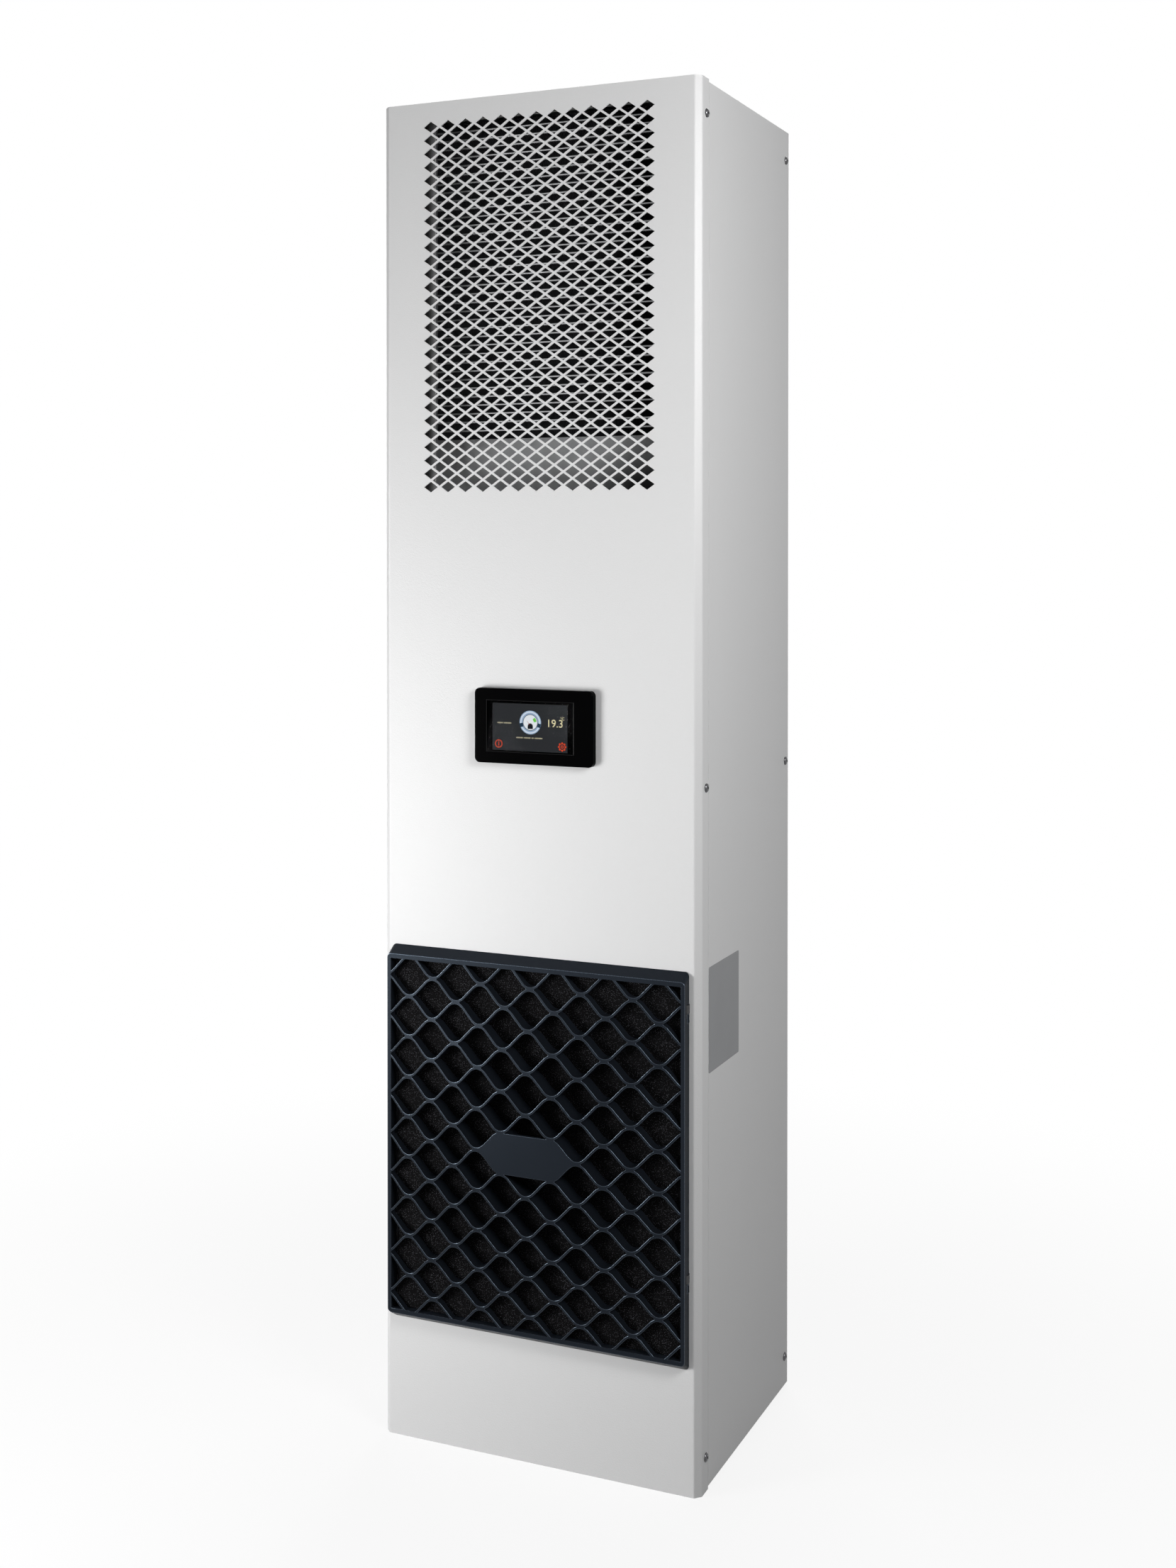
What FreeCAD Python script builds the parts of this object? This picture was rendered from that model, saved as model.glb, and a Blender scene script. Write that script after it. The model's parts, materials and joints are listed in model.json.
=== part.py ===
import FreeCAD
import Part
import math
import os

# Enclosure air conditioner: a tall folded casing with a room-air circuit in front and an enclosure-air circuit
# behind a partition. All sizes are in millimetres. The pieces are drawn with the front sheet's face at y = 0,
# y growing towards the back and z growing up from the base, and are moved to the part's own frame when saved.

# Casing
CASE_WIDTH = 394.0
CASE_HEIGHT = 1550.0
CASE_DEPTH = 310.0
SHEET = 1.5
COVER_CHAMFER = 7.0
COVER_DEPTH = 26.0
COVER_SEAM = 0.6
COVER_BEND_R = 2.0
PANEL_SETBACK = 3.2
TONGUE_FIT = 0.3
TONGUE_START = 11.0
PANEL_FLANGE = 8.0
REAR_FLANGE = 22.0
BASE_HEIGHT = 21.5
BASE_FLANGE = 15.0
GASKET_WIDTH = 12.0
GASKET_THICKNESS = 6.0
GASKET_INSET = 5.0

# Casing screws
SCREW_HEAD_R = 5.2
SCREW_HEAD_H = 2.6
SCREW_SHANK_R = 2.5
SCREW_HOLE_R = 2.8
SCREW_LENGTH = 9.0
COVER_SCREW_Y = 18.5
PANEL_SCREW_INSET = 11.0
SCREW_END_MARGIN = 38.5

# Threaded nuts pressed into the rear panel and the top panel
NUT_BORE_R = 3.4
NUT_BODY_R = 5.5
NUT_FLANGE_R = 8.0
NUT_FLANGE_H = 1.0
NUT_LENGTH = 14.0
MOUNT_SIDE_MARGIN = 27.0
MOUNT_END_MARGIN = 50.0
LIFT_SIDE_MARGIN = 47.0
LIFT_SPACING_Y = 120.0

# Diamond-punched air outlet
OUTLET_PITCH_X = 22.4
OUTLET_PITCH_Z = 15.35
OUTLET_SIDE_MARGIN = 60.0
OUTLET_ROWS = 28
OUTLET_STRAND = 2.4
OUTLET_TOP_MARGIN = 28.1

# Intake grille with its domed wave lattice
GRILLE_BOTTOM = 139.8
GRILLE_SIDE_MARGIN = 17.0
GRILLE_OPENING_H = 408.0
GRILLE_BORDER_X = 4.6
GRILLE_BORDER_Z = 5.15
GRILLE_SLOPE_X = 0.4
GRILLE_SLOPE_Z = 8.85
GRILLE_RIM = 14.5
GRILLE_DOME = 16.0
GRILLE_CORNER_R = 5.0
GRILLE_STANDOFF = 0.3
GRILLE_WALL = 2.5
LATTICE_BACK = 6.5
WAVE_LENGTH = 62.0
WAVE_PITCH = 46.2
WAVE_CREST_R = 13.0
WAVE_GAP = 2.3
WAVE_TIP_R = 1.2
RIB = 2.5
PLATE_THICKNESS = 3.0
FILTER_THICKNESS = 5.0
FILTER_FIT = 0.3
FILTER_SIDE_GAP = 3.0
LUG_LENGTH = 14.0
LUG_DEPTH = 6.0
INTAKE_MARGIN = 15.0
INTAKE_CORNER_R = 8.0

# Grille hinge and snap catches
HINGE_INSET = 3.0
KNUCKLE_R = 4.0
KNUCKLE_LENGTH = 9.6
KNUCKLE_GAP = 0.4
HINGE_LOW_MARGIN = 86.5
HINGE_HIGH_MARGIN = 54.6
PIN_R = 1.5
PIN_RUNNING_FIT = 0.05
PIN_SEAT_FIT = 0.02
HINGE_STEM = 5.0
HINGE_FLANGE = 2.0
HINGE_FIT = 0.4
CATCH_THICKNESS = 2.0
CATCH_WIDTH = 14.0
CATCH_REACH = 8.0
CATCH_MARGIN = 54.0
CATCH_CLEARANCE = 1.5

# Touch display
DISPLAY_DROP = 714.0
BEZEL_W = 147.0
BEZEL_H = 85.0
BEZEL_PROUD = 9.5
BEZEL_CORNER_R = 6.0
BEZEL_EDGE_R = 2.0
BEZEL_WALL = 3.0
BEZEL_FRONT = 1.5
WINDOW_W = 107.6
WINDOW_H = 57.6
WINDOW_SHIFT = -3.8
GLASS_MARGIN = 4.0
GLASS_THICKNESS = 1.1
PANEL_THICKNESS = 3.0
BACK_BOX_W = 126.0
BACK_BOX_H = 64.0
BACK_BOX_DEPTH = 22.0
BACK_BOX_FIT = 1.0

# Partition between the two air circuits
PARTITION_Y = 180.0

# Compressor
COMPRESSOR_X = 55.0
COMPRESSOR_Y = 105.0
COMPRESSOR_R = 59.0
COMPRESSOR_H = 225.0
COMPRESSOR_CONE = 16.0
FOOT_CIRCLE_R = 80.0
FOOT_PAD_R = 16.0
FOOT_PLATE = 3.0
GROMMET_R = 12.0
GROMMET_H = 18.0
FOOT_BOLT_R = 4.0
FOOT_BOLT_HEAD_R = 7.5
FOOT_BOLT_HEAD_H = 5.0
TERMINAL_COVER_W = 44.0
TERMINAL_COVER_H = 22.0
ACCUMULATOR_R = 26.0
ACCUMULATOR_H = 150.0
ACCUMULATOR_GAP = 10.0
ACCUMULATOR_LIFT = 30.0
CLAMP_HEIGHT = 14.0
CLAMP_WIDTH = 24.0

# Condenser coil, its duct and the baffle below it
COIL_Y = 45.0
COIL_DEPTH = 22.0
COIL_SIDE_MARGIN = 47.0
CONDENSER_TOP_MARGIN = 16.0
CONDENSER_TUBES = 36
TUBE_PITCH = 10.0
TUBE_THICKNESS = 2.0
HEADER_W = 16.0
HEADER_OVERHANG = 4.0
DUCT_MARGIN = 2.0
DUCT_SHEET = 1.0
DUCT_FLANGE = 10.0
DUCT_FIT = 0.3
BAFFLE_DROP = 24.0

# Condenser fan
SHROUD_OVERHANG = 18.0
SHROUD_RIM = 17.0
SHROUD_WALL = 1.5
SHROUD_DEPTH = 42.0
FAN_BLADES = 5
FAN_TIP_GAP = 4.0
FAN_HUB_R = 45.0
FAN_HUB_DEPTH = 30.0
FAN_START = 6.0
BLADE_CHORD = 76.0
BLADE_THICKNESS = 2.5
BLADE_ROOT_ANGLE = 38.0
BLADE_TIP_ANGLE = 22.0
MOTOR_R = 42.0
MOTOR_LENGTH = 36.0
SHAFT_R = 4.0
SHAFT_FIT = 0.05
BRACKET_ARM = 14.0
BRACKET_THICKNESS = 3.0
BRACKET_HOLE_FIT = 2.0

# Evaporator, tilted in the rear air duct
EVAPORATOR_SIDE_MARGIN = 50.0
EVAPORATOR_PITCH = 12.5
EVAPORATOR_TUBE_H = 310.0
EVAPORATOR_Z = 570.0
EVAPORATOR_GAP = 6.5
EVAPORATOR_HEADER_R = 11.0
EVAPORATOR_HEADER_MARGIN = 30.0
TRAY_WALL = 1.5
TRAY_HEIGHT = 13.0
TRAY_SIDE_MARGIN = 17.0
TRAY_CLEARANCE = 6.0
DRAIN_R = 8.0
DRAIN_INSET = 30.0
DRAIN_END = 4.0

# Evaporator fan on the rear side of the partition
RADIAL_FAN_DROP = 220.0
RADIAL_MOTOR_R = 46.0
RADIAL_MOTOR_LENGTH = 34.0
RADIAL_FAN_R = 110.0
RADIAL_INLET_R = 68.0
RADIAL_BLADES = 7
RADIAL_BLADE_THICKNESS = 2.0
RADIAL_SWEEP = 42.0
RADIAL_DISC = 2.0
RADIAL_GAP = 4.0
INLET_RING_WALL = 1.5
INLET_RING_FLARE = 14.0
INLET_RING_DEPTH = 23.0
INLET_OVERLAP_GAP = 2.0

# Air slots of the rear panel
SLOT_W = 104.0
SLOT_H = 16.0
SLOT_PITCH = 27.0
SLOT_COLUMN_GAP = 14.0
INLET_SLOTS = 9
OUTLET_SLOTS = 7
OUTLET_SLOTS_Z = 190.0

# Refrigerant lines
DISCHARGE_R = 5.0
LIQUID_R = 4.0
SUCTION_R = 6.0
BEND_R = 28.0
PIPE_END_FIT = 0.3
PIPE_HOLE_FIT = 1.0
DISCHARGE_RISE = 70.0
SUCTION_RISE = 70.0
SUCTION_GAP = 20.0
DRIER_R = 16.0
DRIER_LENGTH = 110.0
DRIER_NECK = 14.0
DRIER_DROP = 143.0
VALVE_R = 12.0
VALVE_LENGTH = 40.0
VALVE_HEAD_R = 20.0
VALVE_HEAD_H = 10.0
VALVE_DROP = 50.0

# Electrics
CONTROL_SIDE_MARGIN = 77.0
CONTROL_H = 300.0
CONTROL_DEPTH = 84.0
CONTROL_DROP = 23.0
CONTROL_SHEET = 1.0
BOARD_MARGIN = 45.0
BOARD_H = 170.0
BOARD_THICKNESS = 1.6
BOARD_STANDOFF = 8.0
BOARD_POST_R = 4.0
TERMINAL_MARGIN = 30.0
TERMINAL_H = 32.0
TERMINAL_DEPTH = 40.0
CAPACITOR_R = 18.0
CAPACITOR_LENGTH = 70.0
CONTROL_MARGIN = 18.0
CONNECTOR_W = 74.0
CONNECTOR_H = 34.0
CONNECTOR_PROUD = 5.0
CONNECTOR_DEPTH = 26.0
CONNECTOR_FIT = 0.3
CONNECTOR_DROP = 590.0
CONNECTOR_POCKET = 4.0

# Sizes worked out from the ones above
HALF_W = CASE_WIDTH / 2
INNER_X = HALF_W - SHEET
PANEL_START = COVER_DEPTH + COVER_SEAM
PANEL_BOTTOM = PANEL_SETBACK
PANEL_TOP = CASE_HEIGHT - PANEL_SETBACK
TOP_UNDERSIDE = PANEL_TOP - SHEET
BASE_HALF_W = INNER_X - PANEL_FLANGE
REAR_INNER_Y = CASE_DEPTH - SHEET
PARTITION_BACK = PARTITION_Y + SHEET
GRILLE_PROUD = GRILLE_RIM + GRILLE_DOME
FRONT_Y = (GRILLE_PROUD - CASE_DEPTH - GASKET_THICKNESS) / 2
PANEL_SCREW_Y = CASE_DEPTH - PANEL_SCREW_INSET
MOUNT_SPACING_X = CASE_WIDTH - 2 * MOUNT_SIDE_MARGIN
LIFT_SPACING_X = CASE_WIDTH - 2 * LIFT_SIDE_MARGIN
SCREW_ROWS = (SCREW_END_MARGIN, CASE_HEIGHT / 2, CASE_HEIGHT - SCREW_END_MARGIN)

OUTLET_COLUMNS = int((CASE_WIDTH - 2 * OUTLET_SIDE_MARGIN) / OUTLET_PITCH_X) + 1
OUTLET_HALF_X = (OUTLET_COLUMNS - 1) * OUTLET_PITCH_X / 2
OUTLET_HALF_Z = (OUTLET_ROWS - 1) * OUTLET_PITCH_Z / 2
OUTLET_CENTRE_Z = CASE_HEIGHT - OUTLET_TOP_MARGIN - OUTLET_HALF_Z
STRAND_SLOPE = math.atan2(OUTLET_PITCH_Z, OUTLET_PITCH_X)
DIAMOND_X = OUTLET_PITCH_X / 2 - OUTLET_STRAND / (2 * math.sin(STRAND_SLOPE))
DIAMOND_Z = OUTLET_PITCH_Z / 2 - OUTLET_STRAND / (2 * math.cos(STRAND_SLOPE))

GRILLE_OPENING_W = CASE_WIDTH - 2 * GRILLE_SIDE_MARGIN
GRILLE_FRONT_W = GRILLE_OPENING_W + 2 * GRILLE_BORDER_X
GRILLE_FRONT_H = GRILLE_OPENING_H + 2 * GRILLE_BORDER_Z
GRILLE_BASE_W = GRILLE_FRONT_W + 2 * GRILLE_SLOPE_X
GRILLE_BASE_H = GRILLE_FRONT_H + 2 * GRILLE_SLOPE_Z
GRILLE_CENTRE_Z = GRILLE_BOTTOM + GRILLE_BASE_H / 2
GRILLE_TOP = GRILLE_BOTTOM + GRILLE_BASE_H
INTAKE_W = GRILLE_OPENING_W - 2 * INTAKE_MARGIN
INTAKE_H = GRILLE_OPENING_H - 2 * INTAKE_MARGIN
HINGE_X = GRILLE_BASE_W / 2 - HINGE_INSET
HINGE_Y = -(GRILLE_STANDOFF + KNUCKLE_R)
HINGE_ROWS = (GRILLE_BOTTOM + HINGE_LOW_MARGIN, GRILLE_TOP - HINGE_HIGH_MARGIN)
CATCH_X = -(GRILLE_OPENING_W + GRILLE_BASE_W) / 4
CATCH_ROWS = (GRILLE_BOTTOM + CATCH_MARGIN, GRILLE_TOP - CATCH_MARGIN)
DISPLAY_CENTRE_Z = CASE_HEIGHT - DISPLAY_DROP

COIL_CORE_W = CASE_WIDTH - 2 * COIL_SIDE_MARGIN
CONDENSER_TOP = CASE_HEIGHT - CONDENSER_TOP_MARGIN
CONDENSER_BOTTOM = CONDENSER_TOP - (CONDENSER_TUBES + 1) * TUBE_PITCH
COIL_BACK = COIL_Y + COIL_DEPTH
HEADER_X = COIL_CORE_W / 2 + HEADER_W / 2
DUCT_HALF_X = COIL_CORE_W / 2 + DUCT_MARGIN
DUCT_BOTTOM = OUTLET_CENTRE_Z - OUTLET_HALF_Z - BAFFLE_DROP
DUCT_TOP = CONDENSER_TOP + DUCT_MARGIN
FAN_Z = (CONDENSER_BOTTOM + CONDENSER_TOP) / 2
SHROUD_W = COIL_CORE_W + 2 * SHROUD_OVERHANG
SHROUD_BORE_R = SHROUD_W / 2 - SHROUD_RIM
FAN_TIP_R = SHROUD_BORE_R - FAN_TIP_GAP
SHROUD_BACK = COIL_BACK + SHROUD_DEPTH
BRACKET_BACK = SHROUD_BACK + BRACKET_THICKNESS
HUB_FRONT = COIL_BACK + FAN_START
HUB_BACK = HUB_FRONT + FAN_HUB_DEPTH

COMPRESSOR_Z = BASE_HEIGHT + GROMMET_H + FOOT_PLATE
COMPRESSOR_TOP = COMPRESSOR_Z + COMPRESSOR_H
ACCUMULATOR_X = COMPRESSOR_X - COMPRESSOR_R - ACCUMULATOR_GAP - ACCUMULATOR_R
ACCUMULATOR_Z = COMPRESSOR_Z + ACCUMULATOR_LIFT
ACCUMULATOR_TOP = ACCUMULATOR_Z + ACCUMULATOR_H

REAR_ROOM = REAR_INNER_Y - PARTITION_BACK
EVAPORATOR_Y = PARTITION_BACK + REAR_ROOM / 2
EVAPORATOR_TUBES = int((CASE_WIDTH - 2 * EVAPORATOR_SIDE_MARGIN) / EVAPORATOR_PITCH) + 1
EVAPORATOR_HEADER_W = CASE_WIDTH - 2 * EVAPORATOR_HEADER_MARGIN
HEADER_REACH = EVAPORATOR_TUBE_H / 2 + EVAPORATOR_HEADER_R
TILT = math.asin((REAR_ROOM / 2 - EVAPORATOR_HEADER_R - EVAPORATOR_GAP) / HEADER_REACH)
UPPER_HEADER = (EVAPORATOR_Y - HEADER_REACH * math.sin(TILT), EVAPORATOR_Z + HEADER_REACH * math.cos(TILT))
LOWER_HEADER = (EVAPORATOR_Y + HEADER_REACH * math.sin(TILT), EVAPORATOR_Z - HEADER_REACH * math.cos(TILT))
TRAY_FLOOR_Z = LOWER_HEADER[1] - EVAPORATOR_HEADER_R - TRAY_CLEARANCE
TRAY_Z = TRAY_FLOOR_Z - TRAY_WALL
TRAY_W = CASE_WIDTH - 2 * TRAY_SIDE_MARGIN
DRAIN_X = TRAY_W / 2 - DRAIN_INSET
DRAIN_Y = PARTITION_BACK + DRAIN_INSET

RADIAL_FAN_Z = CASE_HEIGHT - RADIAL_FAN_DROP
RADIAL_DISC_Y = PARTITION_BACK + RADIAL_MOTOR_LENGTH + RADIAL_GAP
RADIAL_BLADE_Y = RADIAL_DISC_Y + RADIAL_DISC
RADIAL_END_Y = REAR_INNER_Y - INLET_RING_DEPTH - INLET_OVERLAP_GAP
RADIAL_FRONT_Y = RADIAL_END_Y - RADIAL_DISC
RADIAL_BLADE_WIDTH = RADIAL_FRONT_Y - RADIAL_BLADE_Y

CONTROL_Y = PARTITION_Y - CONTROL_DEPTH
CONTROL_BACK = PARTITION_Y - CONTROL_SHEET
CONTROL_W = CASE_WIDTH - 2 * CONTROL_SIDE_MARGIN
CONTROL_TOP = DUCT_BOTTOM - CONTROL_DROP
CONTROL_Z = CONTROL_TOP - CONTROL_H
BOARD_W = CONTROL_W - 2 * BOARD_MARGIN
TERMINAL_W = CONTROL_W - 2 * TERMINAL_MARGIN
BOARD_Y = CONTROL_BACK - BOARD_STANDOFF - BOARD_THICKNESS
BOARD_Z = CONTROL_TOP - CONTROL_MARGIN - BOARD_H
CONNECTOR_Z = CASE_HEIGHT - CONNECTOR_DROP
LINE_Y = COIL_Y + COIL_DEPTH / 2
DRIER_Z = DUCT_BOTTOM - DRIER_DROP
VALVE_Z = EVAPORATOR_Z - VALVE_DROP
SUCTION_X = -(CONTROL_W / 2 + SUCTION_GAP)


def at(x, y, z):
    return FreeCAD.Vector(x, y, z)


def box(x, y, z):
    """Block between the two ends given for each axis."""
    return Part.makeBox(x[1] - x[0], y[1] - y[0], z[1] - z[0], at(x[0], y[0], z[0]))


def about(centre, size):
    """Both ends of a length that is centred on a place."""
    return (centre - size / 2, centre + size / 2)


def cylinder_y(x, z, radius, y):
    return Part.makeCylinder(radius, y[1] - y[0], at(x, y[0], z), at(0, 1, 0))


def cylinder_z(x, y, radius, z):
    return Part.makeCylinder(radius, z[1] - z[0], at(x, y, z[0]), at(0, 0, 1))


def cylinder_x(y, z, radius, x):
    return Part.makeCylinder(radius, x[1] - x[0], at(x[0], y, z), at(1, 0, 0))


def tube_y(x, z, outer, inner, y):
    return cylinder_y(x, z, outer, y).cut(cylinder_y(x, z, inner, y))


def flat_face(points):
    return Part.Face(Part.makePolygon(points + points[:1]))


def fillet_along(shape, direction, radius):
    """Round every straight edge that runs along one direction."""
    edges = []
    for edge in shape.Edges:
        if edge.Vertexes[0].Point.isEqual(edge.Vertexes[-1].Point, 1e-6):
            continue
        run = edge.Vertexes[-1].Point - edge.Vertexes[0].Point
        if run.cross(direction).Length < 1e-6:
            edges.append(edge)
    return shape.makeFillet(radius, edges)


def rounded_plate(x, y, z, radius):
    return fillet_along(box(x, y, z), at(0, 1, 0), radius)


def mirrored(shape):
    return shape.mirror(at(0, 0, 0), at(1, 0, 0))


def both_sides(shape):
    return [shape, mirrored(shape)]


# Casing

def cover_block(inset):
    """Block in the plan outline of the cover: flat front, 45 degree chamfers with bends, straight flanges."""
    shift = inset * (math.sqrt(2) - 1)
    flat = HALF_W - COVER_CHAMFER - shift
    side = HALF_W - inset
    turn = COVER_CHAMFER + shift
    back = 2 * COVER_DEPTH
    points = [(-flat, inset), (flat, inset), (side, turn), (side, back), (-side, back), (-side, turn)]
    block = flat_face([at(x, y, inset) for x, y in points]).extrude(at(0, 0, CASE_HEIGHT - 2 * inset))
    return fillet_along(block, at(0, 0, 1), COVER_BEND_R + SHEET - inset)


def diamond(x, z):
    corners = [(x - DIAMOND_X, z), (x, z - DIAMOND_Z), (x + DIAMOND_X, z), (x, z + DIAMOND_Z)]
    return flat_face([at(px, 0, pz) for px, pz in corners])


def outlet_window():
    """Zigzag-edged window: the strand field and the diamonds along its four sides."""
    left, right = -OUTLET_HALF_X, OUTLET_HALF_X
    low, high = OUTLET_CENTRE_Z - OUTLET_HALF_Z, OUTLET_CENTRE_Z + OUTLET_HALF_Z
    field = flat_face([at(left, 0, low), at(right, 0, low), at(right, 0, high), at(left, 0, high)])
    rim = []
    for row in range(OUTLET_ROWS):
        z = low + row * OUTLET_PITCH_Z
        rim += [diamond(left, z), diamond(right, z)]
    for column in range(1, OUTLET_COLUMNS - 1):
        x = left + column * OUTLET_PITCH_X
        rim += [diamond(x, low), diamond(x, high)]
    return field.fuse(rim).removeSplitter().extrude(at(0, SHEET, 0))


def strand_layer(direction, y):
    """Parallel strands of one diagonal direction, trimmed to the field."""
    low = OUTLET_CENTRE_Z - OUTLET_HALF_Z
    field = box((-OUTLET_HALF_X, OUTLET_HALF_X), y, about(OUTLET_CENTRE_Z, 2 * OUTLET_HALF_Z))
    run = math.hypot(2 * OUTLET_HALF_X, 2 * OUTLET_HALF_Z) * 2
    strands = []
    for step in range(3 - 2 * OUTLET_ROWS, 2 * OUTLET_COLUMNS - 2, 2):
        strip = box((-run, run), y, about(0, OUTLET_STRAND))
        strip.rotate(at(0, 0, 0), at(0, -1, 0), math.degrees(STRAND_SLOPE))
        strip.translate(at(step * OUTLET_PITCH_X / 2 - OUTLET_HALF_X, 0, low))
        strand = strip.common(field)
        strands.append(strand if direction > 0 else mirrored(strand))
    return strands


def outlet_screen():
    middle = SHEET / 2
    return Part.makeCompound(strand_layer(1, (0, middle)) + strand_layer(-1, (middle, SHEET)))


def hinge_ear_span(low):
    start = low + KNUCKLE_LENGTH + KNUCKLE_GAP
    return (start, start + KNUCKLE_LENGTH)


def front_cover():
    pan = cover_block(0).cut(cover_block(SHEET))
    pan = pan.common(box((-HALF_W, HALF_W), (0, COVER_DEPTH), (0, CASE_HEIGHT)))
    through = (-SHEET, 2 * SHEET)
    cuts = [outlet_window()]
    cuts.append(rounded_plate(about(0, INTAKE_W), through, about(GRILLE_CENTRE_Z, INTAKE_H), INTAKE_CORNER_R))
    cuts.append(box(about(0, BACK_BOX_W + 2 * BACK_BOX_FIT), through,
                    about(DISPLAY_CENTRE_Z, BACK_BOX_H + 2 * BACK_BOX_FIT)))
    for low in HINGE_ROWS:
        ear = hinge_ear_span(low)
        cuts.append(box(about(HINGE_X, HINGE_STEM + 2 * HINGE_FIT), through,
                        (ear[0] - HINGE_FIT, ear[1] + HINGE_FIT)))
    for z in CATCH_ROWS:
        cuts.append(box(about(CATCH_X, CATCH_THICKNESS + 2 * CATCH_CLEARANCE), through,
                        about(z, CATCH_WIDTH + 2 * CATCH_CLEARANCE)))
    for z in SCREW_ROWS:
        cuts.append(cylinder_x(COVER_SCREW_Y, z, SCREW_HOLE_R, (-CASE_WIDTH, CASE_WIDTH)))
    return pan.cut(cuts)


def right_side_panel():
    """Side wall with a stepped tongue behind the cover flange and narrow flanges at both ends."""
    step = INNER_X - TONGUE_FIT
    points = [(HALF_W, PANEL_START), (HALF_W, CASE_DEPTH), (INNER_X, CASE_DEPTH),
              (INNER_X, PANEL_START + SHEET), (step - SHEET, PANEL_START + SHEET),
              (step - SHEET, TONGUE_START), (step, TONGUE_START), (step, PANEL_START)]
    wall = flat_face([at(x, y, PANEL_BOTTOM) for x, y in points]).extrude(at(0, 0, PANEL_TOP - PANEL_BOTTOM))
    across = (BASE_HALF_W, INNER_X)
    along = (PANEL_START + SHEET, REAR_INNER_Y - REAR_FLANGE)
    low = box(across, along, (PANEL_BOTTOM, PANEL_BOTTOM + SHEET))
    high = box(across, along, (TOP_UNDERSIDE - SHEET, TOP_UNDERSIDE))
    panel = wall.fuse([low, high])
    holes = []
    for z in SCREW_ROWS:
        for y in (COVER_SCREW_Y, PANEL_SCREW_Y):
            holes.append(cylinder_x(y, z, SCREW_HOLE_R, (BASE_HALF_W, HALF_W)))
    return panel.cut(holes)


def top_panel():
    plate = box((-INNER_X, INNER_X), (PANEL_START + SHEET, CASE_DEPTH), (TOP_UNDERSIDE, PANEL_TOP))
    reach = INNER_X - 2 * SHEET
    tongue = box((-reach, reach), (TONGUE_START, PANEL_START + SHEET), (TOP_UNDERSIDE, PANEL_TOP))
    holes = []
    for x, y in lift_places():
        holes.append(cylinder_z(x, y, NUT_BODY_R, (TOP_UNDERSIDE, PANEL_TOP)))
    return plate.fuse(tongue).removeSplitter().cut(holes)


def base_tray():
    """Raised floor on a folded skirt with a return flange that stands on the ground."""
    front = PANEL_START + SHEET
    block = box((-BASE_HALF_W, BASE_HALF_W), (front, REAR_INNER_Y), (0, BASE_HEIGHT))
    inner = BASE_HALF_W - SHEET
    hollow = box((-inner, inner), (front + SHEET, REAR_INNER_Y - SHEET), (SHEET, BASE_HEIGHT - SHEET))
    open_x = BASE_HALF_W - BASE_FLANGE
    mouth = box((-open_x, open_x), (front + BASE_FLANGE, REAR_INNER_Y - BASE_FLANGE), (0, SHEET))
    drain = cylinder_z(DRAIN_X, DRAIN_Y, DRAIN_R + PIPE_HOLE_FIT, (0, BASE_HEIGHT))
    return block.cut([hollow, mouth, drain])


def slot_places(centre_z, count):
    places = []
    for row in range(count):
        z = centre_z + (row - (count - 1) / 2) * SLOT_PITCH
        for side in (-1, 1):
            places.append((side * (SLOT_W + SLOT_COLUMN_GAP) / 2, z))
    return places


def mount_places():
    rows = (MOUNT_END_MARGIN, CASE_HEIGHT / 2, CASE_HEIGHT - MOUNT_END_MARGIN)
    return [(side * MOUNT_SPACING_X / 2, z) for z in rows for side in (-1, 1)]


def lift_places():
    middle = CASE_DEPTH / 2
    return [(sx * LIFT_SPACING_X / 2, middle + sy * LIFT_SPACING_Y / 2) for sx in (-1, 1) for sy in (-1, 1)]


def rear_panel():
    """Back plate with forward side flanges, two banks of air slots and the connector cut-out."""
    plate = box((-INNER_X, INNER_X), (REAR_INNER_Y, CASE_DEPTH), (PANEL_BOTTOM, TOP_UNDERSIDE))
    flange = box((INNER_X - SHEET, INNER_X), (REAR_INNER_Y - REAR_FLANGE, REAR_INNER_Y),
                 (PANEL_BOTTOM, TOP_UNDERSIDE))
    panel = plate.fuse(both_sides(flange)).removeSplitter()
    through = (REAR_INNER_Y, CASE_DEPTH)
    cuts = []
    for x, z in slot_places(RADIAL_FAN_Z, INLET_SLOTS) + slot_places(OUTLET_SLOTS_Z, OUTLET_SLOTS):
        cuts.append(box(about(x, SLOT_W), through, about(z, SLOT_H)))
    for x, z in mount_places():
        cuts.append(cylinder_y(x, z, NUT_BODY_R, through))
    cuts.append(box(about(0, CONNECTOR_W + 2 * CONNECTOR_FIT), through,
                    about(CONNECTOR_Z, CONNECTOR_H + 2 * CONNECTOR_FIT)))
    for z in SCREW_ROWS:
        cuts.append(cylinder_x(PANEL_SCREW_Y, z, SCREW_HOLE_R, (-INNER_X, INNER_X)))
    return panel.cut(cuts)


def rear_gasket():
    """Four foam strips, butted at the corners."""
    x = INNER_X - GASKET_INSET
    low, high = PANEL_BOTTOM + GASKET_INSET, TOP_UNDERSIDE - GASKET_INSET
    y = (CASE_DEPTH, CASE_DEPTH + GASKET_THICKNESS)
    upright = box((x - GASKET_WIDTH, x), y, (low, high))
    level = (GASKET_WIDTH - x, x - GASKET_WIDTH)
    strips = [box(level, y, (low, low + GASKET_WIDTH)), box(level, y, (high - GASKET_WIDTH, high))]
    return Part.makeCompound(both_sides(upright) + strips)


def casing_screw(y, z):
    """Button-head screw that stands on the outside of the right wall."""
    end = HALF_W - SCREW_LENGTH
    shank = cylinder_x(y, z, SCREW_SHANK_R, (end, HALF_W))
    head = Part.makeCone(SCREW_HEAD_R, SCREW_HEAD_R / 2, SCREW_HEAD_H, at(HALF_W, y, z), at(1, 0, 0))
    return shank.fuse(head)


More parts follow.
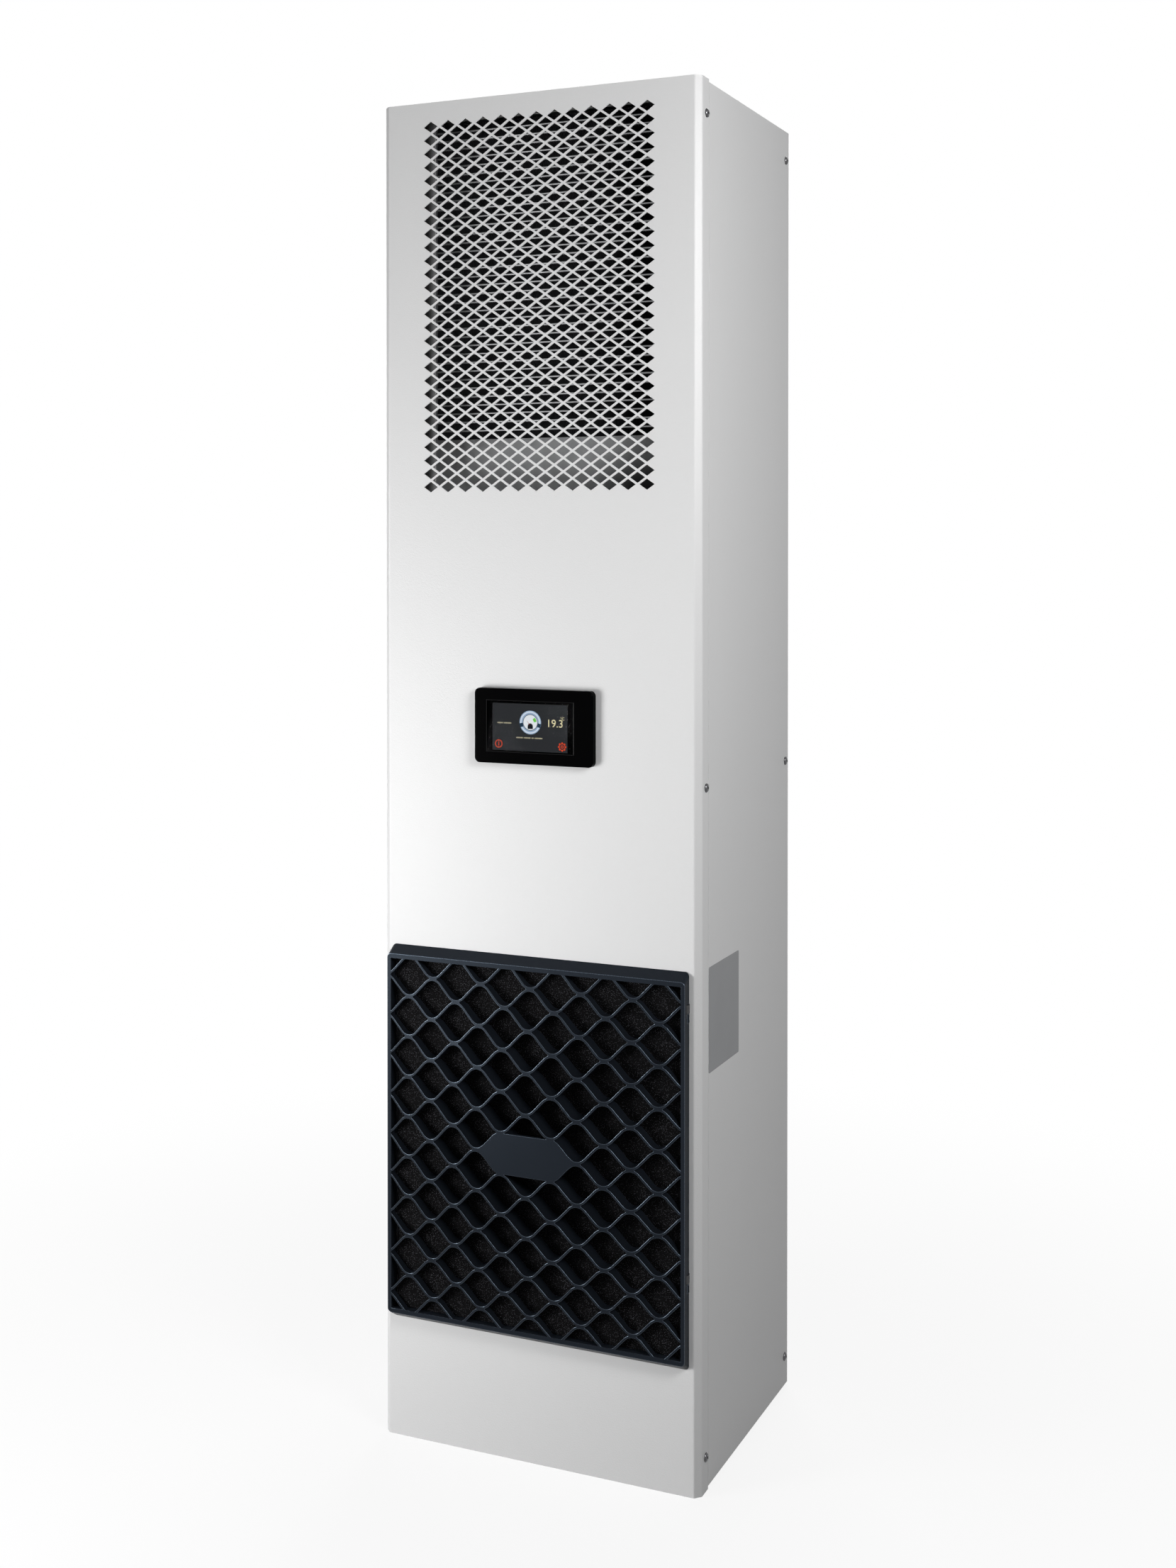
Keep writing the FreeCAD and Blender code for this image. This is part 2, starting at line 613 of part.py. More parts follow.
def casing_screws():
    screws = []
    for z in SCREW_ROWS:
        for y in (COVER_SCREW_Y, PANEL_SCREW_Y):
            screws += both_sides(casing_screw(y, z))
    return Part.makeCompound(screws)


def press_nut():
    """Flanged threaded nut along z: its flange stands on the sheet at z = 0."""
    body = cylinder_z(0, 0, NUT_BODY_R, (-NUT_LENGTH, 0))
    flange = cylinder_z(0, 0, NUT_FLANGE_R, (0, NUT_FLANGE_H))
    return body.fuse(flange).cut(cylinder_z(0, 0, NUT_BORE_R, (-NUT_LENGTH, NUT_FLANGE_H)))


def mounting_nuts():
    nuts = []
    for x, z in mount_places():
        nut = press_nut()
        nut.rotate(at(0, 0, 0), at(1, 0, 0), -90)
        nuts.append(nut.translated(at(x, CASE_DEPTH, z)))
    return Part.makeCompound(nuts)


def lifting_nuts():
    return Part.makeCompound([press_nut().translated(at(x, y, PANEL_TOP)) for x, y in lift_places()])


# Intake grille

def wave_slope():
    """Slope of the straight run between the crest arc and the trough arc of one wave rib."""
    across = WAVE_LENGTH / 2
    rise = WAVE_PITCH / 2 - WAVE_GAP - 2 * WAVE_CREST_R
    return math.atan2(rise, across) + math.asin(2 * WAVE_CREST_R / math.hypot(across, rise))


def on_arc(x, z, radius, angle):
    """Point on an arc about (x, z), with the angle taken from straight up."""
    return at(x + radius * math.sin(angle), 0, z + radius * math.cos(angle))


def cell_quarter():
    """Upper right quarter of an opening: end of the crest arc, three points of the node arc, and the nose."""
    slope = wave_slope()
    inner, outer = WAVE_CREST_R - RIB / 2, WAVE_CREST_R + RIB / 2
    crest_z = WAVE_PITCH / 2 - WAVE_GAP / 2 - WAVE_CREST_R
    node_x, node_z = WAVE_LENGTH / 2, WAVE_GAP / 2 + WAVE_CREST_R
    reach = math.sqrt((outer + WAVE_TIP_R) ** 2 - node_z ** 2)
    tip = math.atan2(reach, node_z)
    crest_end = on_arc(0, crest_z, inner, slope)
    hollow = [on_arc(node_x, node_z, -outer, angle) for angle in (slope, (slope + tip) / 2, tip)]
    return [crest_end] + hollow + [at(node_x - reach + WAVE_TIP_R, 0, 0)]


def lattice_cell(column, row):
    """Opening between two waves: a crest above, a trough below and a small round nose at each node."""
    top = at(0, 0, WAVE_PITCH / 2 - WAVE_GAP / 2 - RIB / 2)
    edges = []
    for side_x, side_z in ((1, 1), (1, -1), (-1, -1), (-1, 1)):
        crest_end, start, middle, tip, nose = [at(p.x * side_x, 0, p.z * side_z) for p in cell_quarter()]
        edges += [Part.makeLine(crest_end, start), Part.Arc(start, middle, tip).toShape()]
        if side_x > 0:
            other = at(-crest_end.x, 0, crest_end.z)
            edges.append(Part.Arc(other, top * side_z, crest_end).toShape())
        if side_z > 0:
            edges.append(Part.Arc(tip, nose, at(tip.x, 0, -tip.z)).toShape())
    centre = at(column * WAVE_LENGTH / 2, 0, GRILLE_CENTRE_Z + row * WAVE_PITCH / 2)
    return Part.Face(Part.Wire(Part.__sortEdges__(edges))).translated(centre)


def opening_corners(y):
    x = about(0, GRILLE_OPENING_W)
    z = about(GRILLE_CENTRE_Z, GRILLE_OPENING_H)
    return [at(x[0], y, z[0]), at(x[1], y, z[0]), at(x[1], y, z[1]), at(x[0], y, z[1])]


def centre_plate_outline():
    """Long hexagon with its points on the lattice nodes."""
    x, z = WAVE_LENGTH / 2, WAVE_PITCH / 2
    points = [(-2 * x, 0), (-x, -z), (x, -z), (2 * x, 0), (x, z), (-x, z)]
    return flat_face([at(px, 0, GRILLE_CENTRE_Z + pz) for px, pz in points])


def domed_block():
    """Block behind the lattice front: a biquadratic dome that meets the rim along its four edges."""
    surface = Part.BezierSurface()
    surface.increase(2, 2)
    for column in range(3):
        for row in range(3):
            lift = 4 * GRILLE_DOME if column == row == 1 else 0
            x = (column - 1) * GRILLE_OPENING_W / 2
            z = GRILLE_CENTRE_Z + (row - 1) * GRILLE_OPENING_H / 2
            surface.setPole(column + 1, row + 1, at(x, -GRILLE_RIM - lift, z))
    back, front = opening_corners(-LATTICE_BACK), opening_corners(-GRILLE_RIM)
    faces = [surface.toShape(), flat_face(back)]
    for side in range(4):
        following = (side + 1) % 4
        faces.append(flat_face([back[side], back[following], front[following], front[side]]))
    return Part.Solid(Part.makeShell(faces))


def wave_lattice():
    columns = math.ceil(GRILLE_OPENING_W / WAVE_LENGTH)
    rows = math.ceil(GRILLE_OPENING_H / WAVE_PITCH)
    places = [(column, row) for row in range(-rows, rows + 1) for column in range(-columns, columns + 1)]
    cells = [lattice_cell(column, row) for column, row in places if (column + row) % 2]
    openings = Part.makeCompound(cells)
    plate = centre_plate_outline()
    web = flat_face(opening_corners(0)).cut(openings.cut(plate))
    lattice = web.extrude(at(0, -GRILLE_PROUD - RIB, 0)).common(domed_block())
    sag = GRILLE_DOME * (2 * WAVE_LENGTH / GRILLE_OPENING_W) ** 2
    pocket_depth = GRILLE_PROUD - sag - PLATE_THICKNESS
    pockets = openings.common(plate).extrude(at(0, -pocket_depth, 0))
    return lattice.cut(pockets)


def frame_section(width, height, y):
    """Rounded rectangle of the grille frame at one depth."""
    radius = GRILLE_CORNER_R
    plate = rounded_plate(about(0, width), (y, y + SHEET), about(GRILLE_CENTRE_Z, height), radius)
    face = min(plate.Faces, key=lambda candidate: candidate.CenterOfMass.y)
    return face.OuterWire


def grille_frame():
    """Sloped rectangular rim; its back edge on the hinge side is round about the hinge axis."""
    base = frame_section(GRILLE_BASE_W, GRILLE_BASE_H, -GRILLE_STANDOFF)
    front = frame_section(GRILLE_FRONT_W, GRILLE_FRONT_H, -GRILLE_RIM)
    frame = Part.makeLoft([base, front], True, True)
    tall = about(GRILLE_CENTRE_Z, GRILLE_BASE_H)
    edge = box((HINGE_X, HINGE_X + KNUCKLE_R), (HINGE_Y, 0), tall)
    edge = edge.cut(cylinder_z(HINGE_X, HINGE_Y, KNUCKLE_R, tall))
    opening = box(about(0, GRILLE_OPENING_W), (-GRILLE_RIM, 0), about(GRILLE_CENTRE_Z, GRILLE_OPENING_H))
    inner = GRILLE_OPENING_H / 2 + GRILLE_WALL
    outer = (GRILLE_BASE_H + GRILLE_FRONT_H) / 4 - GRILLE_WALL
    across = about(0, GRILLE_OPENING_W - 2 * GRILLE_CORNER_R)
    deep = (-GRILLE_RIM / 2, 0)
    upper = box(across, deep, (GRILLE_CENTRE_Z + inner, GRILLE_CENTRE_Z + outer))
    lower = box(across, deep, (GRILLE_CENTRE_Z - outer, GRILLE_CENTRE_Z - inner))
    return frame.cut([edge, opening, upper, lower])


def filter_lugs():
    """Small lugs on the inner side walls that keep the filter mat in the frame."""
    behind = -LATTICE_BACK + FILTER_THICKNESS + 2 * FILTER_FIT
    lugs = []
    for step in (-1, 0, 1):
        z = GRILLE_CENTRE_Z + step * GRILLE_OPENING_H / 3
        edge = GRILLE_OPENING_W / 2
        lugs += both_sides(box((edge - LUG_DEPTH, edge), (behind, -GRILLE_STANDOFF), about(z, LUG_LENGTH)))
    return lugs


def intake_grille():
    pieces = [wave_lattice()] + filter_lugs()
    deep = (-GRILLE_RIM / 2, 0)
    cuts = [box(about(CATCH_X, CATCH_THICKNESS), deep, about(z, CATCH_WIDTH)) for z in CATCH_ROWS]
    for low in HINGE_ROWS:
        ear = hinge_ear_span(low)
        knuckle = (low, low + KNUCKLE_LENGTH)
        pieces.append(cylinder_z(HINGE_X, HINGE_Y, KNUCKLE_R, knuckle))
        reach = KNUCKLE_R + HINGE_FIT
        cuts.append(box((HINGE_X - reach, HINGE_X + 2 * reach), (HINGE_Y - reach, 0),
                        (ear[0] - HINGE_FIT, ear[1] + HINGE_FIT)))
        cuts.append(cylinder_z(HINGE_X, HINGE_Y, PIN_R + PIN_RUNNING_FIT, knuckle))
    return grille_frame().fuse(pieces).cut(cuts)


def grille_catches():
    """Spring catches pressed into the frame's free side; each has a barb behind the front sheet."""
    catches = []
    for z in CATCH_ROWS:
        blade = box(about(CATCH_X, CATCH_THICKNESS), (-GRILLE_RIM / 2, CATCH_REACH), about(z, CATCH_WIDTH))
        barb_root = CATCH_X + CATCH_THICKNESS / 2
        barb_tip = barb_root + CATCH_CLEARANCE / 2
        points = [(barb_root, 2 * SHEET), (barb_tip, 3 * SHEET), (barb_root, CATCH_REACH)]
        barb = flat_face([at(x, y, z - CATCH_WIDTH / 2) for x, y in points]).extrude(at(0, 0, CATCH_WIDTH))
        catches.append(blade.fuse(barb))
    return Part.makeCompound(catches)


def filter_mat():
    front = -LATTICE_BACK + FILTER_FIT
    return box(about(0, GRILLE_OPENING_W - 2 * FILTER_SIDE_GAP), (front, front + FILTER_THICKNESS),
               about(GRILLE_CENTRE_Z, GRILLE_OPENING_H - 2 * FILTER_FIT))


def grille_hinge_brackets():
    brackets = []
    for low in HINGE_ROWS:
        ear = hinge_ear_span(low)
        barrel = cylinder_z(HINGE_X, HINGE_Y, KNUCKLE_R, ear)
        stem = box(about(HINGE_X, HINGE_STEM), (HINGE_Y, SHEET + HINGE_FLANGE), ear)
        flange = box((HINGE_X - 3 * HINGE_STEM, HINGE_X + HINGE_STEM), (SHEET, SHEET + HINGE_FLANGE),
                     (ear[0] - HINGE_STEM, ear[1] + HINGE_STEM))
        bore = cylinder_z(HINGE_X, HINGE_Y, PIN_R + PIN_SEAT_FIT, ear)
        brackets.append(barrel.fuse([stem, flange]).cut(bore))
    return Part.makeCompound(brackets)


def grille_hinge_pins():
    return Part.makeCompound([cylinder_z(HINGE_X, HINGE_Y, PIN_R, (low + PIN_R, hinge_ear_span(low)[1]))
                              for low in HINGE_ROWS])


# Touch display

def display_bezel():
    tall = about(DISPLAY_CENTRE_Z, BEZEL_H)
    shell = rounded_plate(about(0, BEZEL_W), (-BEZEL_PROUD, 0), tall, BEZEL_CORNER_R)
    rim = [edge for edge in shell.Edges if edge.BoundBox.YMax < -BEZEL_PROUD + 1e-6]
    shell = shell.makeFillet(BEZEL_EDGE_R, rim)
    pocket = box(about(0, BEZEL_W - 2 * BEZEL_WALL), (BEZEL_FRONT - BEZEL_PROUD, 0),
                 about(DISPLAY_CENTRE_Z, BEZEL_H - 2 * BEZEL_WALL))
    window = box(about(WINDOW_SHIFT, WINDOW_W), (-BEZEL_PROUD, 0), about(DISPLAY_CENTRE_Z, WINDOW_H))
    return shell.cut([pocket, window])


def display_layer(front, thickness):
    """One plate behind the window, a margin larger than the window all round."""
    return box(about(WINDOW_SHIFT, WINDOW_W + 2 * GLASS_MARGIN), (front, front + thickness),
               about(DISPLAY_CENTRE_Z, WINDOW_H + 2 * GLASS_MARGIN))


def display_glass():
    return display_layer(BEZEL_FRONT - BEZEL_PROUD, GLASS_THICKNESS)


def display_panel():
    return display_layer(BEZEL_FRONT - BEZEL_PROUD + GLASS_THICKNESS, PANEL_THICKNESS)


def display_back_box():
    front = BEZEL_FRONT - BEZEL_PROUD + GLASS_THICKNESS + PANEL_THICKNESS
    return box(about(0, BACK_BOX_W), (front, BACK_BOX_DEPTH), about(DISPLAY_CENTRE_Z, BACK_BOX_H))


# Compressor

def foot_places():
    places = []
    for angle in (30, 150, 270):
        turn = math.radians(angle)
        across, back = FOOT_CIRCLE_R * math.cos(turn), FOOT_CIRCLE_R * math.sin(turn)
        places.append((COMPRESSOR_X + across, COMPRESSOR_Y + back))
    return places


def compressor_shell():
    """Steel can with coned ends, welded to a three-armed foot plate."""
    can = cylinder_z(COMPRESSOR_X, COMPRESSOR_Y, COMPRESSOR_R, (COMPRESSOR_Z, COMPRESSOR_TOP))
    can = can.makeChamfer(COMPRESSOR_CONE, [can.Edges[0], can.Edges[2]])
    span = (COMPRESSOR_Z - FOOT_PLATE, COMPRESSOR_Z)
    arms = [cylinder_z(COMPRESSOR_X, COMPRESSOR_Y, COMPRESSOR_R - COMPRESSOR_CONE, span)]
    for x, y in foot_places():
        arm = box((0, FOOT_CIRCLE_R), about(0, 2 * FOOT_PAD_R), span)
        arm.rotate(at(0, 0, 0), at(0, 0, 1), math.degrees(math.atan2(y - COMPRESSOR_Y, x - COMPRESSOR_X)))
        arms.append(arm.translated(at(COMPRESSOR_X, COMPRESSOR_Y, 0)))
        arms.append(cylinder_z(x, y, FOOT_PAD_R, span))
    holes = [cylinder_z(x, y, FOOT_BOLT_R + SHAFT_FIT, span) for x, y in foot_places()]
    plate = arms[0].fuse(arms[1:]).removeSplitter().cut(holes)
    return can.fuse(plate)


def compressor_grommets():
    span = (BASE_HEIGHT, BASE_HEIGHT + GROMMET_H)
    bore = FOOT_BOLT_R + SHAFT_FIT
    grommets = [cylinder_z(x, y, GROMMET_R, span).cut(cylinder_z(x, y, bore, span)) for x, y in foot_places()]
    return Part.makeCompound(grommets)


def compressor_bolts():
    bolts = []
    for x, y in foot_places():
        shank = cylinder_z(x, y, FOOT_BOLT_R, (BASE_HEIGHT, COMPRESSOR_Z))
        head = cylinder_z(x, y, FOOT_BOLT_HEAD_R, (COMPRESSOR_Z, COMPRESSOR_Z + FOOT_BOLT_HEAD_H))
        bolts.append(shank.fuse(head))
    return Part.makeCompound(bolts)


def compressor_terminal_cover():
    x = about(COMPRESSOR_X + TERMINAL_COVER_W / 2, TERMINAL_COVER_W)
    tall = (COMPRESSOR_TOP, COMPRESSOR_TOP + TERMINAL_COVER_H)
    cover = box(x, about(COMPRESSOR_Y, TERMINAL_COVER_W / 2), tall)
    span = (COMPRESSOR_TOP, COMPRESSOR_TOP + TERMINAL_COVER_H)
    return cover.cut(cylinder_z(COMPRESSOR_X, COMPRESSOR_Y, 2 * DISCHARGE_R, span))


def accumulator():
    can = cylinder_z(ACCUMULATOR_X, COMPRESSOR_Y, ACCUMULATOR_R, (ACCUMULATOR_Z, ACCUMULATOR_TOP))
    return can.makeChamfer(ACCUMULATOR_R / 2, [can.Edges[0], can.Edges[2]])


def accumulator_clamp():
    """Saddle between the compressor can and the accumulator."""
    middle = (ACCUMULATOR_Z + ACCUMULATOR_TOP) / 2
    saddle = box((ACCUMULATOR_X, COMPRESSOR_X), about(COMPRESSOR_Y, CLAMP_WIDTH), about(middle, CLAMP_HEIGHT))
    span = (ACCUMULATOR_Z, ACCUMULATOR_TOP)
    return saddle.cut([cylinder_z(COMPRESSOR_X, COMPRESSOR_Y, COMPRESSOR_R, span),
                       cylinder_z(ACCUMULATOR_X, COMPRESSOR_Y, ACCUMULATOR_R, span)])


# Condenser coil

def condenser_tubes():
    tubes = []
    for row in range(CONDENSER_TUBES):
        z = CONDENSER_BOTTOM + (row + 1) * TUBE_PITCH
        tubes.append(box(about(0, COIL_CORE_W), (COIL_Y, COIL_BACK), about(z, TUBE_THICKNESS)))
    return Part.makeCompound(tubes)


def condenser_fins():
    fins = []
    for row in range(CONDENSER_TUBES + 1):
        low = CONDENSER_BOTTOM + row * TUBE_PITCH + (TUBE_THICKNESS / 2 if row else 0)
        high = CONDENSER_BOTTOM + (row + 1) * TUBE_PITCH
        high -= TUBE_THICKNESS / 2 if row < CONDENSER_TUBES else 0
        fins.append(box(about(0, COIL_CORE_W), (COIL_Y, COIL_BACK), (low, high)))
    return Part.makeCompound(fins)


def condenser_headers():
    span = (CONDENSER_BOTTOM - HEADER_OVERHANG, CONDENSER_TOP + HEADER_OVERHANG)
    header = box(about(HEADER_X, HEADER_W), (COIL_Y, COIL_BACK), span)
    upright = [edge for edge in header.Edges if edge.BoundBox.ZLength > COIL_DEPTH]
    outer = [edge for edge in upright if edge.CenterOfMass.x > HEADER_X]
    return Part.makeCompound(both_sides(header.makeFillet(HEADER_W / 2, outer)))


def coil_duct():
    """Sheet duct from the punched field back to the coil, with an outward flange against the headers."""
    inner_z = (DUCT_BOTTOM, DUCT_TOP)
    outer_x = DUCT_HALF_X + DUCT_SHEET
    outer_z = (inner_z[0] - DUCT_SHEET, inner_z[1] + DUCT_SHEET)
    depth = (SHEET + DUCT_FIT, COIL_Y)
    wall = box((-outer_x, outer_x), depth, outer_z)
    flange = box((-outer_x - DUCT_FLANGE, outer_x + DUCT_FLANGE), (COIL_Y - DUCT_SHEET, COIL_Y), outer_z)
    return wall.fuse(flange).cut(box((-DUCT_HALF_X, DUCT_HALF_X), depth, inner_z))


def air_baffle():
    """Plain plate that closes the duct below the coil."""
    x = DUCT_HALF_X + DUCT_FLANGE / 2
    plate = box((-x, x), (COIL_Y, COIL_Y + DUCT_SHEET), (DUCT_BOTTOM, CONDENSER_BOTTOM - HEADER_OVERHANG))
    shelf = box((-DUCT_HALF_X, DUCT_HALF_X), (COIL_Y, COIL_BACK),
                (CONDENSER_BOTTOM - DUCT_SHEET, CONDENSER_BOTTOM))
    upright = box((-DUCT_HALF_X, DUCT_HALF_X), (COIL_Y, COIL_Y + DUCT_SHEET),
                  (CONDENSER_BOTTOM - HEADER_OVERHANG, CONDENSER_BOTTOM))
    headers = condenser_headers()
    return plate.fuse([upright, shelf]).removeSplitter().cut(headers)


# Condenser fan

def fan_shroud():
    """Plate behind the coil with a round fan collar."""
    height = CONDENSER_TOP - CONDENSER_BOTTOM + 2 * HEADER_OVERHANG
    plate = box(about(0, SHROUD_W), (COIL_BACK, COIL_BACK + SHROUD_WALL), about(FAN_Z, height))
    collar = cylinder_y(0, FAN_Z, SHROUD_BORE_R + SHROUD_WALL, (COIL_BACK, SHROUD_BACK))
    return plate.fuse(collar).cut(cylinder_y(0, FAN_Z, SHROUD_BORE_R, (COIL_BACK, SHROUD_BACK)))


def fan_bracket():
    """Cross bracket on the collar's rear edge that carries the motor."""
    span = (SHROUD_BACK, BRACKET_BACK)
    reach = SHROUD_BORE_R + SHROUD_WALL
    upright = box(about(0, BRACKET_ARM), span, about(FAN_Z, 2 * reach))
    level = box(about(0, 2 * reach), span, about(FAN_Z, BRACKET_ARM))
    plate = cylinder_y(0, FAN_Z, MOTOR_R, span)
    rim = cylinder_y(0, FAN_Z, reach, span)
    cross = plate.fuse([upright, level]).removeSplitter().common(rim)
    return cross.cut(cylinder_y(0, FAN_Z, SHAFT_R + BRACKET_HOLE_FIT, span))


def condenser_fan_motor():
    span = (BRACKET_BACK, BRACKET_BACK + MOTOR_LENGTH)
    bore = (BRACKET_BACK, BRACKET_BACK + MOTOR_LENGTH / 2)
    return cylinder_y(0, FAN_Z, MOTOR_R, span).cut(cylinder_y(0, FAN_Z, SHAFT_R + SHAFT_FIT, bore))


def blade_section(radius, angle, axial):
    """Thin rectangle across the blade at one radius, on a plane square to the radius."""
    turn = math.radians(angle)
    along = (math.cos(turn) * BLADE_CHORD / 2, math.sin(turn) * BLADE_CHORD / 2)
    side = (-math.sin(turn) * BLADE_THICKNESS / 2, math.cos(turn) * BLADE_THICKNESS / 2)
    signs = [(-1, -1), (1, -1), (1, 1), (-1, 1)]
    points = [at(radius, axial + a * along[1] + s * side[1], a * along[0] + s * side[0]) for a, s in signs]
    return Part.makePolygon(points + points[:1])


def condenser_fan_impeller():
    """Axial rotor: hub, twisted blades trimmed to a round tip, and its shaft."""
    middle = (HUB_FRONT + HUB_BACK) / 2
    tip = cylinder_y(0, 0, FAN_TIP_R, (COIL_BACK, SHROUD_BACK))
    root = math.sqrt(FAN_HUB_R ** 2 - (BLADE_CHORD / 2) ** 2)
    blade = Part.makeLoft([blade_section(root, BLADE_ROOT_ANGLE, middle),
                           blade_section(FAN_TIP_R, BLADE_TIP_ANGLE, middle)], True, True).common(tip)
    rotor = cylinder_y(0, 0, FAN_HUB_R, (HUB_FRONT, HUB_BACK))
    blades = []
    for number in range(FAN_BLADES):
        copy = blade.copy()
        copy.rotate(at(0, 0, 0), at(0, 1, 0), number * 360 / FAN_BLADES)
        blades.append(copy)
    shaft = cylinder_y(0, 0, SHAFT_R, (HUB_BACK, BRACKET_BACK + MOTOR_LENGTH / 3))
    return rotor.fuse(blades + [shaft]).translated(at(0, 0, FAN_Z))


# Evaporator and its air duct

def tilted(shape):
    shape.rotate(at(0, EVAPORATOR_Y, EVAPORATOR_Z), at(1, 0, 0), math.degrees(TILT))
    return shape


def evaporator_span():
    return (EVAPORATOR_TUBES - 1) * EVAPORATOR_PITCH


def evaporator_tubes():
    tubes = []
    for number in range(EVAPORATOR_TUBES):
        x = number * EVAPORATOR_PITCH - evaporator_span() / 2
        tubes.append(tilted(box(about(x, TUBE_THICKNESS), about(EVAPORATOR_Y, COIL_DEPTH),
                                about(EVAPORATOR_Z, EVAPORATOR_TUBE_H))))
    return Part.makeCompound(tubes)


def evaporator_fins():
    fins = []
    for number in range(EVAPORATOR_TUBES - 1):
        x = (number + 0.5) * EVAPORATOR_PITCH - evaporator_span() / 2
        fins.append(tilted(box(about(x, EVAPORATOR_PITCH - TUBE_THICKNESS), about(EVAPORATOR_Y, COIL_DEPTH),
                               about(EVAPORATOR_Z, EVAPORATOR_TUBE_H - 2 * TUBE_THICKNESS))))
    return Part.makeCompound(fins)


def evaporator_headers():
    """Two round headers with a flat where the tubes end."""
    headers = []
    for side in (-1, 1):
        z = EVAPORATOR_Z + side * HEADER_REACH
        barrel = cylinder_x(EVAPORATOR_Y, z, EVAPORATOR_HEADER_R, about(0, EVAPORATOR_HEADER_W))
        tube_end = EVAPORATOR_Z + side * EVAPORATOR_TUBE_H / 2
        seat = box(about(0, evaporator_span() + EVAPORATOR_PITCH), about(EVAPORATOR_Y, COIL_DEPTH),
                   (min(z, tube_end), max(z, tube_end)))
        headers.append(tilted(barrel.fuse(seat).removeSplitter()))
    return Part.makeCompound(headers)


def evaporator_brackets():
    """Side cheeks on the partition that hold the header ends."""
    x = (EVAPORATOR_HEADER_W / 2, EVAPORATOR_HEADER_W / 2 + SHEET)
    margin = EVAPORATOR_HEADER_R
    top = UPPER_HEADER[1] + margin
    points = [(PARTITION_BACK, top), (UPPER_HEADER[0] + margin, top),
              (LOWER_HEADER[0] + margin, LOWER_HEADER[1]), (LOWER_HEADER[0], LOWER_HEADER[1] - margin),
              (PARTITION_BACK, LOWER_HEADER[1] + TRAY_HEIGHT)]
    cheek = flat_face([at(x[0], y, z) for y, z in points]).extrude(at(SHEET, 0, 0))
    return Part.makeCompound(both_sides(cheek))


def condensate_tray():
    """Open tray under the evaporator with a drain hole in its floor."""
    y = (PARTITION_BACK, REAR_INNER_Y)
    outer = box(about(0, TRAY_W), y, (TRAY_Z, TRAY_Z + TRAY_HEIGHT))
    inner = box(about(0, TRAY_W - 2 * TRAY_WALL), (y[0] + TRAY_WALL, y[1] - TRAY_WALL),
                (TRAY_FLOOR_Z, TRAY_Z + TRAY_HEIGHT))
    return outer.cut([inner, cylinder_z(DRAIN_X, DRAIN_Y, DRAIN_R, (TRAY_Z, TRAY_FLOOR_Z))])


def drain_pipe():
    span = (DRAIN_END, TRAY_FLOOR_Z)
    bore = cylinder_z(DRAIN_X, DRAIN_Y, DRAIN_R - TRAY_WALL, span)
    return cylinder_z(DRAIN_X, DRAIN_Y, DRAIN_R, span).cut(bore)


def partition_wall():
    plate = box((-INNER_X, INNER_X), (PARTITION_Y, PARTITION_BACK), (BASE_HEIGHT, TOP_UNDERSIDE - SHEET))
    through = (PARTITION_Y, PARTITION_BACK)
    return plate.cut([cylinder_y(SUCTION_X, UPPER_HEADER[1], SUCTION_R + PIPE_HOLE_FIT, through),
                      cylinder_y(HEADER_X, LOWER_HEADER[1], LIQUID_R + PIPE_HOLE_FIT, through)])


# Evaporator fan

def evaporator_fan_motor():
    span = (PARTITION_BACK, PARTITION_BACK + RADIAL_MOTOR_LENGTH)
    bore = (PARTITION_BACK + RADIAL_MOTOR_LENGTH / 3, span[1])
    return cylinder_y(0, RADIAL_FAN_Z, RADIAL_MOTOR_R, span).cut(
        cylinder_y(0, RADIAL_FAN_Z, SHAFT_R + SHAFT_FIT, bore))


def polar(radius, angle, y):
    turn = math.radians(angle)
    return at(radius * math.cos(turn), y, RADIAL_FAN_Z + radius * math.sin(turn))


def radial_blade(angle):
    """Backward-curved blade: an arc strip from the inlet circle to the rim."""
    radii = (RADIAL_INLET_R, (RADIAL_INLET_R + RADIAL_FAN_R) / 2, RADIAL_FAN_R - RADIAL_BLADE_THICKNESS)
    sweep = (0, RADIAL_SWEEP * 0.42, RADIAL_SWEEP)
    sides = []
    for sign in (-1, 1):
        shift = [math.degrees(sign * RADIAL_BLADE_THICKNESS / 2 / radius) for radius in radii]
        sides.append([polar(radii[n], angle + sweep[n] + shift[n], RADIAL_BLADE_Y) for n in range(3)])
    edges = [Part.Arc(*sides[0]).toShape(), Part.makeLine(sides[0][2], sides[1][2]),
             Part.Arc(*reversed(sides[1])).toShape(), Part.makeLine(sides[1][0], sides[0][0])]
    return Part.Face(Part.Wire(edges)).extrude(at(0, RADIAL_BLADE_WIDTH, 0))


def evaporator_fan_impeller():
    """Backward-curved radial rotor: back disc, blades, inlet-side ring and shaft."""
    disc = cylinder_y(0, RADIAL_FAN_Z, RADIAL_FAN_R, (RADIAL_DISC_Y, RADIAL_BLADE_Y))
    ring = tube_y(0, RADIAL_FAN_Z, RADIAL_FAN_R, RADIAL_INLET_R, (RADIAL_FRONT_Y, RADIAL_END_Y))
    shaft = cylinder_y(0, RADIAL_FAN_Z, SHAFT_R, (PARTITION_BACK + RADIAL_MOTOR_LENGTH / 2, RADIAL_DISC_Y))
    blades = [radial_blade(number * 360 / RADIAL_BLADES) for number in range(RADIAL_BLADES)]
    return disc.fuse(blades + [ring, shaft])


